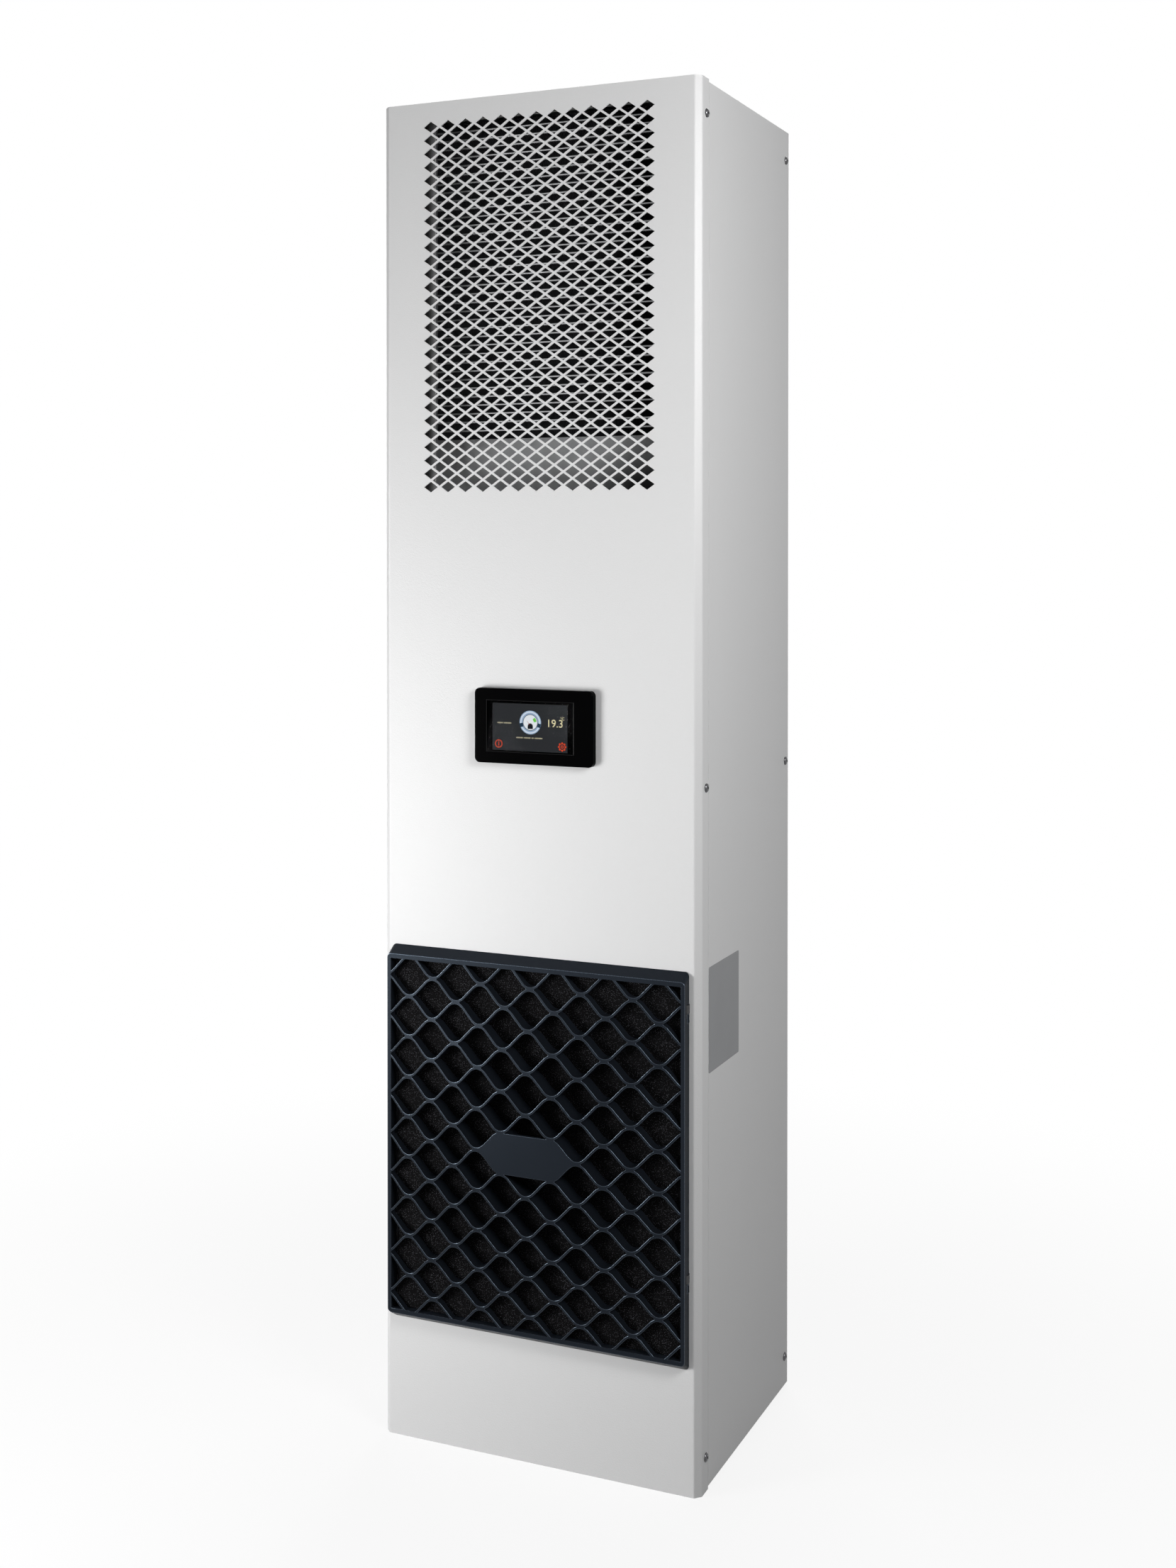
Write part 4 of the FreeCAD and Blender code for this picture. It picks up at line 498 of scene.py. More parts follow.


# The slant ramps paint shade into the baffle's colour towards two corners.
def add_slant_shade(material, height):
    tree = material.node_tree
    axes = object_axes(tree)
    above = math_node(tree, "SUBTRACT", axes["Z"], height)
    slant = math_node(tree, "SUBTRACT", axes["X"], math_node(tree, "MULTIPLY", above, SHADE_SLANT_SLOPE))
    ends = [ramp_node(tree, slant, dark, light, least, smooth=True) for dark, light, least in CORNER_SHADE_ENDS]
    painted_corner_shade = math_node(tree, "MULTIPLY", *ends)
    corner_shaded_tone = shade_color(tree, tree.nodes["tone"].outputs["Color"], painted_corner_shade)
    tree.links.new(corner_shaded_tone, skin_inputs(material)["Base Color"])


baffle_sheet = make_finish("baffle_sheet", PLAIN_ZINC, 0.5, specular=0.1, drift=0.1, grain=900.0, bump=0.08,
                           depth=0.05)
add_spangle(baffle_sheet, (0.38, 0.385, 0.39), (0.355, 0.36, 0.365))
baffle_low, baffle_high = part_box("air_baffle")
add_slant_shade(baffle_sheet, (baffle_low.z + baffle_high.z) / 2)
print("the baffle spans", round((baffle_high.z - baffle_low.z) / MM), "mm in height")


# %% [markdown]
# ## Foam, rubber and the circuit board
# Cellular rubber is a web of thin walls around pores. A Voronoi texture measured to the cell edges gives the
# web: walls are where the distance is small. Open-cell foam swallows nearly all light and only a few strands
# glint, so there the same texture marks cell centres, and each cell's random value picks the few that shine.
# The board is green laminate with paler tracks, which a brick texture lays out.

# %% Foam and rubber
FOAM_DARK = (0.005, 0.005, 0.0056)


def add_pores(material, scale, strand, pore, web):
    tree = material.node_tree
    foam = object_texture(tree, "ShaderNodeTexVoronoi", scale)
    foam.feature = "DISTANCE_TO_EDGE"
    mask = ramp_node(tree, foam.outputs["Distance"], 0.0, web, low=1.0, high=0.0)
    tree.links.new(mix_colors(tree, mask, (*pore, 1.0), (*strand, 1.0)), tree.nodes["tone"].inputs["Color"])
    tree.links.new(mask, tree.nodes["relief"].inputs["Height"])


def add_glints(material, scale, glint, pore, radius, share):
    tree = material.node_tree
    foam = object_texture(tree, "ShaderNodeTexVoronoi", scale)
    lot = pick_color(tree, foam.outputs["Color"])
    near = math_node(tree, "LESS_THAN", foam.outputs["Distance"], radius)
    lucky = math_node(tree, "LESS_THAN", lot["Red"], share)
    shine = math_node(tree, "MULTIPLY", near, lucky)
    level = math_node(tree, "MULTIPLY", shine, lot["Green"])
    tree.links.new(mix_colors(tree, level, (*pore, 1.0), (*glint, 1.0)), tree.nodes["tone"].inputs["Color"])


filter_foam = add_finish("filter_foam", FOAM_DARK, 0.7, specular=0.04, drift=0.6, drift_size=45.0,
                         grain=2000.0, spread=0.3, bump=0.9, depth=0.5)
add_glints(filter_foam, scale=1000.0, glint=(0.34, 0.34, 0.38), pore=FOAM_DARK, radius=0.3, share=0.55)
foam_rubber = add_finish("foam_rubber", (0.02, 0.02, 0.021), 0.85, specular=0.3, drift=0.3, drift_size=30.0,
                         grain=1500.0, bump=0.4, depth=0.15)
add_pores(foam_rubber, scale=1500.0, strand=(0.026, 0.026, 0.027), pore=(0.010, 0.010, 0.011), web=0.3)
print("foam and rubber ready")


# %% Circuit board
LAMINATE = (0.015, 0.12, 0.05)
LAMINATE_DARK = (0.012, 0.096, 0.04)
TRACK = (0.10, 0.26, 0.12)
TRACK_SCALE = 90.0
TRACK_WIDTH = 0.03


def add_tracks(material):
    tree = material.node_tree
    place = tree.nodes.new("ShaderNodeTexCoord")
    turn = tree.nodes.new("ShaderNodeMapping")
    turn.inputs["Rotation"].default_value = (math.radians(90), 0.0, 0.0)
    tree.links.new(place.outputs["Object"], turn.inputs["Vector"])
    tracks = tree.nodes.new("ShaderNodeTexBrick")
    tracks.inputs["Scale"].default_value = TRACK_SCALE
    tracks.inputs["Mortar Size"].default_value = TRACK_WIDTH
    for label, color in (("Color1", LAMINATE), ("Color2", LAMINATE_DARK), ("Mortar", TRACK)):
        tracks.inputs[label].default_value = (*color, 1.0)
    tree.links.new(turn.outputs["Vector"], tracks.inputs["Vector"])
    tree.links.new(tracks.outputs["Color"], tree.nodes["tone"].inputs["Color"])


add_tracks(add_finish("board_laminate", LAMINATE, 0.35, drift=0.15, drift_size=60.0, grain=1800.0,
                      depth=0.03))
print("board ready")


# %% [markdown]
# ## The lit screen
# A colour panel shows a fine raster of dots. The raster could be an image, but a checker at the dot pitch
# breaks the light up in the same way and needs no file. The panel is lit only inside its picture area, so a
# mask made from the Object coordinates switches the light off in the black rim. The cover glass over the
# panel is almost fully clear, so a low alpha does for it.

# %% Raster group
RASTER_SCALE = 5000.0
RASTER_DEPTH = 0.12
BLACK = (0.0, 0.0, 0.0, 1.0)
WHITE = (1.0, 1.0, 1.0, 1.0)


def build_dot_raster():
    tree, start, end = new_group(
        "dot_raster",
        [("Color", "NodeSocketColor", WHITE), ("Depth", "NodeSocketFloat", RASTER_DEPTH)],
        [("Color", "NodeSocketColor")])
    dots = object_texture(tree, "ShaderNodeTexChecker", RASTER_SCALE)
    loss = math_node(tree, "MULTIPLY", dots.outputs["Fac"], start.outputs["Depth"])
    keep = math_node(tree, "SUBTRACT", 1.0, loss)
    tree.links.new(shade_color(tree, start.outputs["Color"], keep), end.inputs["Color"])
    return tree


dot_raster = build_dot_raster()
print("built", dot_raster.name)


# %% Lit finishes
LIT_X = -4.8 * MM
LIT_Z = 835.2 * MM
LIT_W = 93.4 * MM
LIT_H = 53.4 * MM
PANEL_GLOW = (0.028, 0.030, 0.033)


def make_lit(name, color):
    material = bpy.data.materials.new(name)
    material.use_nodes = True
    tree = material.node_tree
    skin = skin_inputs(material)
    skin["Base Color"].default_value = BLACK
    skin["Specular IOR Level"].default_value = 0.0
    skin["Roughness"].default_value = 0.4
    skin["Emission Strength"].default_value = 1.0
    raster = place_group(tree, dot_raster, {"Color": (*color, 1.0), "Depth": RASTER_DEPTH})
    raster.name = "raster"
    tree.links.new(raster.outputs["Color"], skin["Emission Color"])
    return material


def mask_to_picture(material, color):
    tree = material.node_tree
    axes = object_axes(tree)
    inside = []
    for axis, centre, size in (("X", LIT_X, LIT_W), ("Z", LIT_Z, LIT_H)):
        reach = math_node(tree, "ABSOLUTE", math_node(tree, "SUBTRACT", axes[axis], centre))
        inside.append(math_node(tree, "LESS_THAN", reach, size / 2))
    both = math_node(tree, "MULTIPLY", *inside)
    tree.links.new(mix_colors(tree, both, BLACK, (*color, 1.0)), tree.nodes["raster"].inputs["Color"])


finishes["display_screen"] = make_lit("display_screen", PANEL_GLOW)
mask_to_picture(finishes["display_screen"], PANEL_GLOW)
print("lit panel ready")


# %% Cover glass
GLASS_ALPHA = 0.05

screen_glass = add_finish("screen_glass", (0.01, 0.011, 0.012), 0.06, specular=0.1, drift=0.3,
                          drift_size=80.0, grain=60.0, spread=0.04, bump=0.0, depth=0.01)
skin_inputs(screen_glass)["Alpha"].default_value = GLASS_ALPHA
print("finishes in all:", len(finishes))


# %% [markdown]
# ## Finishes on the CAD nodes
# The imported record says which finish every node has. Assigning to the first material slot of each node is
# enough, because the meshes themselves stay untouched. Two sheets have finishes of their own.

# %% Give every CAD node its finish
for subpart in frame["record"]["subparts"]:
    cad_nodes[subpart["node"]].data.materials[0] = finishes[subpart["material_slot"]]
cad_nodes["coil_duct"].data.materials[0] = duct_sheet
cad_nodes["air_baffle"].data.materials[0] = baffle_sheet


# %% [markdown]
# ## The diamond-punched outlet
# The air leaves through a field of diamonds punched in the front sheet. Hundreds of holes could be cut with
# booleans, but a square grid that is sheared into diamonds and inset face by face gives every hole at once
# with clean corners. The inner faces are the holes. Four cuts trim the field to its rectangle and an
# extrusion gives the sheet its thickness.

# %% Helpers for points and thickness
def points_of(geom):
    return [part for part in geom if isinstance(part, bmesh.types.BMVert)]


def thicken(bm, faces, shift):
    moved = points_of(bmesh.ops.extrude_face_region(bm, geom=faces, use_keep_orig=True)["geom"])
    bmesh.ops.translate(bm, verts=moved, vec=shift)
    return moved


print("thickness helper ready")


# %% Punched field
HALF_W = 11.2 * MM
HALF_H = 7.675 * MM
STRAND = 2.4 * MM
FIELD_X = 134.4 * MM
FIELD_Z = 207.225 * MM
FIELD_MID = 1314.675 * MM
SHEET = 1.5 * MM
GRID_CELLS = 42
FIELD_MERGE = 1e-6


def punched_field():
    bm = bmesh.new()
    shear = Matrix(((HALF_W, -HALF_W, 0, 0), (0, 0, 1, 0), (HALF_H, HALF_H, 0, 0), (0, 0, 0, 1)))
    bmesh.ops.create_grid(bm, x_segments=GRID_CELLS, y_segments=GRID_CELLS, size=GRID_CELLS / 2, matrix=shear)
    cells = list(bm.faces)
    bmesh.ops.inset_individual(bm, faces=cells, thickness=STRAND / 2, use_even_offset=True)
    bmesh.ops.delete(bm, geom=cells, context="FACES")
    across, up = Vector((1, 0, 0)), Vector((0, 0, 1))
    for side, reach in ((across, FIELD_X), (-across, FIELD_X), (up, FIELD_Z), (-up, FIELD_Z)):
        everything = bm.verts[:] + bm.edges[:] + bm.faces[:]
        bmesh.ops.bisect_plane(bm, geom=everything, plane_co=side * reach, plane_no=side, clear_outer=True)
    bmesh.ops.remove_doubles(bm, verts=bm.verts, dist=FIELD_MERGE)
    thicken(bm, bm.faces[:], (0, SHEET, 0))
    bmesh.ops.translate(bm, verts=bm.verts, vec=(0, FRONT, FIELD_MID))
    return bm


make_piece("punched_field", punched_field(), "cabinet", powder_coat, ["outlet_screen"])


# %% [markdown]
# ## Folded coil fins
# Between the flat tubes of the condenser run thin aluminium strips, folded to and fro so that air passes and
# heat gets out. One strip is a narrow grid whose every second row of points is lifted. It is copied up the
# coil, one strip in each gap. Little light comes back out of the folds, so the fins are given a nearly
# black colour, which is painted shade.

# %% Fin packs
FOLD = 1.5 * MM
TUBE_PITCH = 10.0 * MM
TUBE_WALL = 2.0 * MM
FIN_PLAY = 0.2 * MM


def fin_packs():
    low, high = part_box("condenser_fins")
    folds = round((high.x - low.x) / FOLD)
    rows = round((high.z - low.z) / TUBE_PITCH)
    rise = TUBE_PITCH - TUBE_WALL - FIN_PLAY
    bm = bmesh.new()
    size = Matrix.Diagonal(((high.x - low.x) / 2, (high.y - low.y) / 2, 1.0, 1.0))
    first = Matrix.Translation(((low.x + high.x) / 2, (low.y + high.y) / 2, low.z + TUBE_PITCH / 2))
    strip = bmesh.ops.create_grid(bm, x_segments=folds, y_segments=1, size=1.0, matrix=first @ size)["verts"]
    for vertex in strip:
        fold = round((vertex.co.x - low.x) / (high.x - low.x) * folds)
        vertex.co.z += rise / 2 if fold % 2 else -rise / 2
    pattern = bm.verts[:] + bm.edges[:] + bm.faces[:]
    for row in range(1, rows):
        points = points_of(bmesh.ops.duplicate(bm, geom=pattern)["geom"])
        bmesh.ops.translate(bm, verts=points, vec=(0, 0, row * TUBE_PITCH))
    print(rows, "strips of", folds, "folds")
    return bm


# The fins' nearly black colour is painted shade for the deep folds.
fin_painted_shade = make_finish("fin_painted_shade", (0.055, 0.057, 0.06), 0.5, specular=0.3, drift=0.4, drift_size=60.0,
                        grain=1200.0, depth=0.03)
make_piece("fin_packs", fin_packs(), "cabinet", fin_painted_shade, ["condenser_fins"],
           sharp_degrees=20)


# %% [markdown]
# ## Soft edges on the mouldings
# The CAD grille already has the domed wave lattice. A moulding never has a knife edge, and its thin bright
# edge lines come from small radii. The copy is merged, its flat triangles are joined into larger faces, and
# every crease gets a small round bevel. The new faces are marked in the attribute named rim, for the finish
# to read. Weighted normals let the large faces stay even, so that only the bevels bend the light. The
# display's bezel is treated alike, and so are the flat tubes of the coil, whose front edges are nearly half
# round.

# %% Bevels along the creases
COPY_MERGE = 2e-6
FLAT_DEGREES = 0.05
CREASE_DEGREES = 40


def round_edges(bm, edges, radius, segments):
    return bmesh.ops.bevel(bm, geom=edges, offset=radius, offset_type="OFFSET", affect="EDGES",
                           segments=segments, profile=0.5, material=-1, clamp_overlap=False)["faces"]


def soft_edged_copy(node, radius):
    bm = bmesh.new()
    bm.from_mesh(cad_nodes[node].data)
    rim = bm.faces.layers.float.new("rim")
    bmesh.ops.remove_doubles(bm, verts=bm.verts, dist=COPY_MERGE)
    bmesh.ops.dissolve_limit(bm, angle_limit=math.radians(FLAT_DEGREES), verts=bm.verts, edges=bm.edges)
    sharp = math.radians(CREASE_DEGREES)
    creases = [edge for edge in bm.edges if edge.is_manifold and edge.calc_face_angle() > sharp]
    rounded = round_edges(bm, creases, radius, segments=2)
    for face in rounded:
        face[rim] = 1.0
    print(node, "has", len(creases), "creases and", len(rounded), "rounded faces")
    return bm


def even_shading(piece):
    weights = piece.modifiers.new("even_shading", "WEIGHTED_NORMAL")
    weights.keep_sharp = True


print("bevel helpers ready")


# %% [markdown]
# ## The wave grille, the bezel and the coil tubes
# Where the grille's centre plate runs into the curved ribs, four narrow webs fill the corners that a straight
# edge leaves open. Each is a thin closed oval. Rays cast from the front find the height of the domed surface
# for its outline, so it lies on the plate and the rib like a fillet of the moulding.

# %% Webs of the centre plate
WEB_X = 38.0 * MM
WEB_Z = 18.0 * MM
WEB_LENGTH = 14.4 * MM
WEB_WIDTH = 3.6 * MM
WEB_DEPTH = 2.0 * MM
WEB_PROUD = 0.05 * MM
WEB_LEAN = (0.8, 0.6)
WEB_POINTS = 20
RAY_START = 100 * MM


def add_plate_webs(bm, middle):
    skin = BVHTree.FromBMesh(bm)
    run, rise = WEB_LEAN
    for side, up in ((-1, -1), (-1, 1), (1, -1), (1, 1)):
        along = Vector((-run * side, 0.0, rise * up)) * (WEB_LENGTH / 2)
        across = Vector((rise * side, 0.0, run * up)) * (WEB_WIDTH / 2)
        spot = middle + Vector((WEB_X * side, -RAY_START, WEB_Z * up))
        ring = []
        for step in range(WEB_POINTS):
            turn = step / WEB_POINTS * 2 * math.pi
            start = spot + along * math.cos(turn) + across * math.sin(turn)
            hit = skin.ray_cast(start, Vector((0, 1, 0)))[0]
            ring.append(bm.verts.new(hit - Vector((0, WEB_PROUD, 0))))
        thicken(bm, [bm.faces.new(ring)], (0, WEB_DEPTH, 0))
    print("webs lie", round(WEB_X / MM), "mm to each side of the plate's middle")


print("each web has", WEB_POINTS, "points round its edge")


# %% Grille, bezel and tubes
EDGE_RADIUS = 0.4 * MM
TUBE_RADIUS = 0.9 * MM

grille = soft_edged_copy("intake_grille", EDGE_RADIUS)
grille_low, grille_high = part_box("intake_grille")
add_plate_webs(grille, (grille_low + grille_high) / 2)
even_shading(make_piece("wave_grille", grille, "grille_door", grille_plastic,
                        ["intake_grille"], sharp_degrees=50))
even_shading(make_piece("polished_bezel", soft_edged_copy("display_bezel", EDGE_RADIUS), "cabinet",
                        bezel_plastic, ["display_bezel"], sharp_degrees=50))
tube_metal = make_finish("tube_metal", (0.55, 0.56, 0.57), 0.4, metallic=0.5, drift=0.3, drift_size=60.0,
                         grain=900.0, depth=0.04)
make_piece("coil_tubes", soft_edged_copy("condenser_tubes", TUBE_RADIUS), "cabinet", tube_metal,
           ["condenser_tubes"], sharp_degrees=50)


# %% [markdown]
# ## The foam filter mat
# The mat is a sheet of soft open-cell foam that lies behind the grille. Its face is slightly uneven and its
# rim is pressed round. A box gets rounded edges, its long edges are cut into a fine grid, and its front
# points sink by a little noise.

# %% Filter mat
MAT_RIM = 1.4 * MM
MAT_CUTS = 50
LONG_EDGE = 100 * MM
FRONT_BAND = 0.3 * MM
DENT_SCALE = 60.0
DENT_DEPTH = 0.5 * MM


def box_mesh(low, high):
    bm = bmesh.new()
    place = Matrix.Translation((low + high) / 2) @ Matrix.Diagonal((*(high - low), 1.0))
    bmesh.ops.create_cube(bm, size=1.0, matrix=place)
    return bm


def filter_mat():
    low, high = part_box("filter_mat")
    bm = box_mesh(low, high)
    round_edges(bm, bm.edges[:], MAT_RIM, segments=3)
    long_edges = [edge for edge in bm.edges if edge.calc_length() > LONG_EDGE]
    bmesh.ops.subdivide_edges(bm, edges=long_edges, cuts=MAT_CUTS, use_grid_fill=True)
    for vertex in bm.verts:
        if vertex.co.y < low.y + FRONT_BAND:
            dent = noise.noise(vertex.co * DENT_SCALE) * 0.5 + 0.5
            vertex.co.y += dent * DENT_DEPTH
    return bm


mat = make_piece("filter_foam", filter_mat(), "grille_door", filter_foam, ["filter_mat"])


# %% [markdown]
# ## The touch screen
# A thin cover glass lies over the panel. The marks of the picture could be painted by a material, but small
# flat shapes are easier to place to a tenth of a millimetre. They lie in layers between the panel and the
# glass, and their helpers take millimetres.

# %% Cover glass over the panel
GLASS_THICKNESS = 0.5 * MM
GLASS_RIM = 0.15 * MM

glass_low, glass_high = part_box("display_glass")
glass = box_mesh(glass_low, Vector((glass_high.x, glass_low.y + GLASS_THICKNESS, glass_high.z)))
round_edges(glass, glass.edges[:], GLASS_RIM, segments=2)
make_piece("touch_glass", glass, "cabinet", screen_glass, ["display_glass"])
PANEL_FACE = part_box("display_panel")[0].y
print("panel face at y =", round(PANEL_FACE, 5))


# %% Discs and rings for the picture
LAYER_STEP = 0.08 * MM
FIRST_LAYER = 0.6
MARK_THICKNESS = 0.8 * LAYER_STEP
STAND_UP = Matrix.Rotation(math.radians(90), 4, "X")


def mark_place(x, z, layer):
    depth = PANEL_FACE - LAYER_STEP * (layer + FIRST_LAYER)
    return Matrix.Translation((x * MM, depth, z * MM)) @ STAND_UP


def add_disc(bm, x, z, radius, layer=0, segments=48):
    bmesh.ops.create_cone(bm, cap_ends=True, segments=segments, radius1=radius * MM, radius2=radius * MM,
                          depth=MARK_THICKNESS, matrix=mark_place(x, z, layer))


def add_ring(bm, x, z, outer, inner, layer=0, segments=48):
    rim = bmesh.ops.create_circle(bm, cap_ends=False, segments=segments, radius=outer * MM)["verts"]
    eye = bmesh.ops.create_circle(bm, cap_ends=False, segments=segments, radius=inner * MM)["verts"]
    loops = list({edge for vertex in rim + eye for edge in vertex.link_edges})
    made = bmesh.ops.bridge_loops(bm, edges=loops)["faces"]
    raised = thicken(bm, made, (0, 0, MARK_THICKNESS))
    bmesh.ops.transform(bm, matrix=mark_place(x, z, layer), verts=rim + eye + raised)


print("marks are", round(MARK_THICKNESS / MM, 3), "mm thick")


# %% Bars and spokes for the picture
def add_bar(bm, x, z, width, height, layer=0, turn=0.0):
    place = mark_place(x, z, layer) @ Matrix.Rotation(math.radians(turn), 4, "Z")
    size = Matrix.Diagonal((width * MM, height * MM, MARK_THICKNESS, 1.0))
    bmesh.ops.create_cube(bm, size=1.0, matrix=place @ size)


def add_spoke(bm, x, z, radius, angle, width, height, layer=0):
    way = math.radians(angle)
    add_bar(bm, x + radius * math.cos(way), z + radius * math.sin(way), width, height, layer, angle)


def show_marks(name, bm, material):
    make_piece(name, bm, "cabinet", material)


print("mark helpers ready")


# %% [markdown]
# ## The picture on the screen
# The gauge is a pale dial in a blue ring, with a green sector and a thin needle. Beside it stand a
# temperature in digits, short rows of bars and two red icons. An image would be quicker to draw, but as
# discs, rings and bars every mark keeps a sharp edge however near the camera comes. The digits are text,
# which is made a mesh before it gets its place.

# %% Gauge
GAUGE_X, GAUGE_Z = -4.0, 841.1

ring = bmesh.new()
add_ring(ring, GAUGE_X, GAUGE_Z, outer=13.4, inner=9.2)
show_marks("screen_gauge_ring", ring, make_lit("lit_ring", (0.33, 0.45, 0.62)))
notches = bmesh.new()
for angle in (196, -16):
    add_spoke(notches, GAUGE_X, GAUGE_Z, radius=11.3, angle=angle, width=4.0, height=4.4, layer=2)
show_marks("screen_gauge_notches", notches, make_lit("lit_notch", (0.02, 0.045, 0.08)))
glint = bmesh.new()
add_ring(glint, GAUGE_X, GAUGE_Z, outer=12.4, inner=11.0, layer=1)
show_marks("screen_gauge_glint", glint, make_lit("lit_glint", (0.72, 0.80, 0.90)))
dial = bmesh.new()
add_disc(dial, GAUGE_X, GAUGE_Z, radius=8.6)
show_marks("screen_gauge_dial", dial, make_lit("lit_dial", (0.84, 0.88, 0.92)))


# %% Gauge hub, sector and needle
hub = bmesh.new()
add_disc(hub, GAUGE_X, GAUGE_Z - 4.2, radius=3.2, layer=1)
add_bar(hub, GAUGE_X, GAUGE_Z - 5.8, width=6.4, height=3.0, layer=1)
show_marks("screen_gauge_hub", hub, make_lit("lit_hub", (0.012, 0.014, 0.018)))
sector = bmesh.new()
for angle in (12, 22, 32, 42):
    add_spoke(sector, GAUGE_X, GAUGE_Z, radius=6.2, angle=angle, width=3.4, height=1.15, layer=1)
show_marks("screen_gauge_sector", sector, make_lit("lit_green", (0.16, 0.62, 0.08)))
needle = bmesh.new()
add_bar(needle, GAUGE_X - 2.4, GAUGE_Z - 0.6, width=5.0, height=0.35, layer=2, turn=128)
show_marks("screen_gauge_needle", needle, make_lit("lit_needle", (0.42, 0.05, 0.03)))


# %% Temperature digits
CAPITAL_SHARE = 0.72


def lettering(text, x, z, height):
    curve = bpy.data.curves.new("reading", "FONT")
    curve.body = text
    curve.size = height / CAPITAL_SHARE * MM
    curve.extrude = MARK_THICKNESS / 2
    holder = bpy.data.objects.new("reading", curve)
    mesh = bpy.data.meshes.new_from_object(holder)
    bpy.data.objects.remove(holder)
    bm = bmesh.new()
    bm.from_mesh(mesh)
    bpy.data.meshes.remove(mesh)
    bmesh.ops.transform(bm, matrix=mark_place(x, z, 0), verts=bm.verts)
    return bm


lit_reading = make_lit("lit_reading", (0.78, 0.72, 0.42))
show_marks("screen_digits", lettering("19.3", x=15.8, z=836.9, height=8.8), lit_reading)
show_marks("screen_unit", lettering("°C", x=33.0, z=845.0, height=3.4), lit_reading)


# %% Rows of bars
BAR_SHARE = 0.62
LOW_EVERY = 3
LOW_SHARE = 0.72
GROUP_GAP = 0.8


def bar_row(bm, x, z, groups, step, height):
    for count in groups:
        for bar in range(count):
            add_bar(bm, x, z, step * BAR_SHARE, height * (1.0 if bar % LOW_EVERY else LOW_SHARE))
            x += step
        x += step * GROUP_GAP


lines = bmesh.new()
bar_row(lines, x=-44.6, z=839.6, groups=(5, 7), step=1.38, height=1.5)
bar_row(lines, x=-21.0, z=823.6, groups=(6, 6, 2, 7), step=1.4, height=1.5)
show_marks("screen_lines", lines, make_lit("lit_lines", (0.62, 0.57, 0.38)))


# %% Icons
INFO_X, INFO_Z = -43.6, 815.8
GEAR_X, GEAR_Z = 35.4, 815.2
GEAR_TEETH = 8

icons = bmesh.new()
add_ring(icons, INFO_X, INFO_Z, outer=4.6, inner=3.7)
add_bar(icons, INFO_X, INFO_Z - 0.9, width=1.1, height=2.6)
add_disc(icons, INFO_X, INFO_Z + 1.6, radius=0.65, segments=20)
add_ring(icons, GEAR_X, GEAR_Z, outer=4.0, inner=3.2)
add_ring(icons, GEAR_X, GEAR_Z, outer=1.8, inner=1.0)
for tooth in range(GEAR_TEETH):
    add_spoke(icons, GEAR_X, GEAR_Z, radius=4.5, angle=tooth * 360 / GEAR_TEETH, width=1.2, height=1.7)
show_marks("screen_icons", icons, make_lit("lit_red", (0.70, 0.07, 0.025)))


# %% [markdown]
# ## Screw heads
# Twelve low button heads with a hexagon socket hold the cover and the side panels. The head is a profile spun
# round its axis. The socket is a six-sided loop bridged to the round rim and pushed in. One head is built and
# copied to the places that the CAD screws have.

# %% One button head
HEAD_PROFILE = ((5.0, 0.0), (5.0, 0.45), (4.75, 1.15), (4.1, 1.85), (3.2, 2.35), (2.35, 2.5))
HEAD_STEPS = 24
SOCKET_RADIUS = 1.75 * MM
SOCKET_TOP = 2.4 * MM
SOCKET_DEPTH = 1.6 * MM


def button_head():
    bm = bmesh.new()
    points = [bm.verts.new((radius * MM, 0, height * MM)) for radius, height in HEAD_PROFILE]
    chain = [bm.edges.new(pair) for pair in zip(points, points[1:])]
    bmesh.ops.spin(bm, geom=points + chain, cent=(0, 0, 0), axis=(0, 0, 1), angle=2 * math.pi,
                   steps=HEAD_STEPS, use_merge=True)
    bmesh.ops.remove_doubles(bm, verts=bm.verts, dist=MERGE_DISTANCE)
    top = [edge for edge in bm.edges if edge.is_boundary and edge.verts[0].co.z > SOCKET_TOP]
    hexagon = bmesh.ops.create_circle(bm, cap_ends=False, segments=6, radius=SOCKET_RADIUS,
                                      matrix=Matrix.Translation((0, 0, SOCKET_TOP)))["verts"]
    key = list({edge for vertex in hexagon for edge in vertex.link_edges})
    bmesh.ops.bridge_loops(bm, edges=top + key)
    floor_points = points_of(bmesh.ops.extrude_edge_only(bm, edges=key)["geom"])
    bmesh.ops.translate(bm, verts=floor_points, vec=(0, 0, -SOCKET_DEPTH))
    bmesh.ops.contextual_create(bm, geom=floor_points)
    return mesh_from(bm, "button_head")


print("a head is spun in", HEAD_STEPS, "steps")


# %% All the screws
SCREW_DEPTHS = (18.5 * MM, 299.0 * MM)
SCREW_HEIGHTS = (38.5 * MM, 775.0 * MM, 1511.5 * MM)


def side_screws():
    head = button_head()
    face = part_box("right_side_panel")[1].x
    bm = bmesh.new()
    for side in (1, -1):
        turn = Matrix.Rotation(math.radians(90 * side), 4, "Y")
        for depth in SCREW_DEPTHS:
            for height in SCREW_HEIGHTS:
                known = len(bm.verts)
                bm.from_mesh(head)
                place = Matrix.Translation((side * face, FRONT + depth, height))
                bmesh.ops.transform(bm, matrix=place @ turn, verts=bm.verts[:][known:])
    bpy.data.meshes.remove(head)
    return bm


screw_steel = make_finish("screw_steel", (0.10, 0.10, 0.105), 0.24, metallic=0.9, drift=0.3, drift_size=150.0,
                          grain=1600.0, spread=0.2, bump=0.08, depth=0.02)
make_piece("side_screws", side_screws(), "cabinet", screw_steel, ["casing_screws"])


# %% [markdown]
# ## A bare plate on the side
# A thin satin plate is stuck to the right side panel. It is a slab a few tenths of a millimetre thick with
# rounded corners, left plain.

# %% Side plate
PLATE_DEPTHS = (27 * MM, 126 * MM)
PLATE_HEIGHTS = (459 * MM, 576 * MM)
PLATE_THICKNESS = 0.3 * MM
PLATE_CORNER = 2.0 * MM


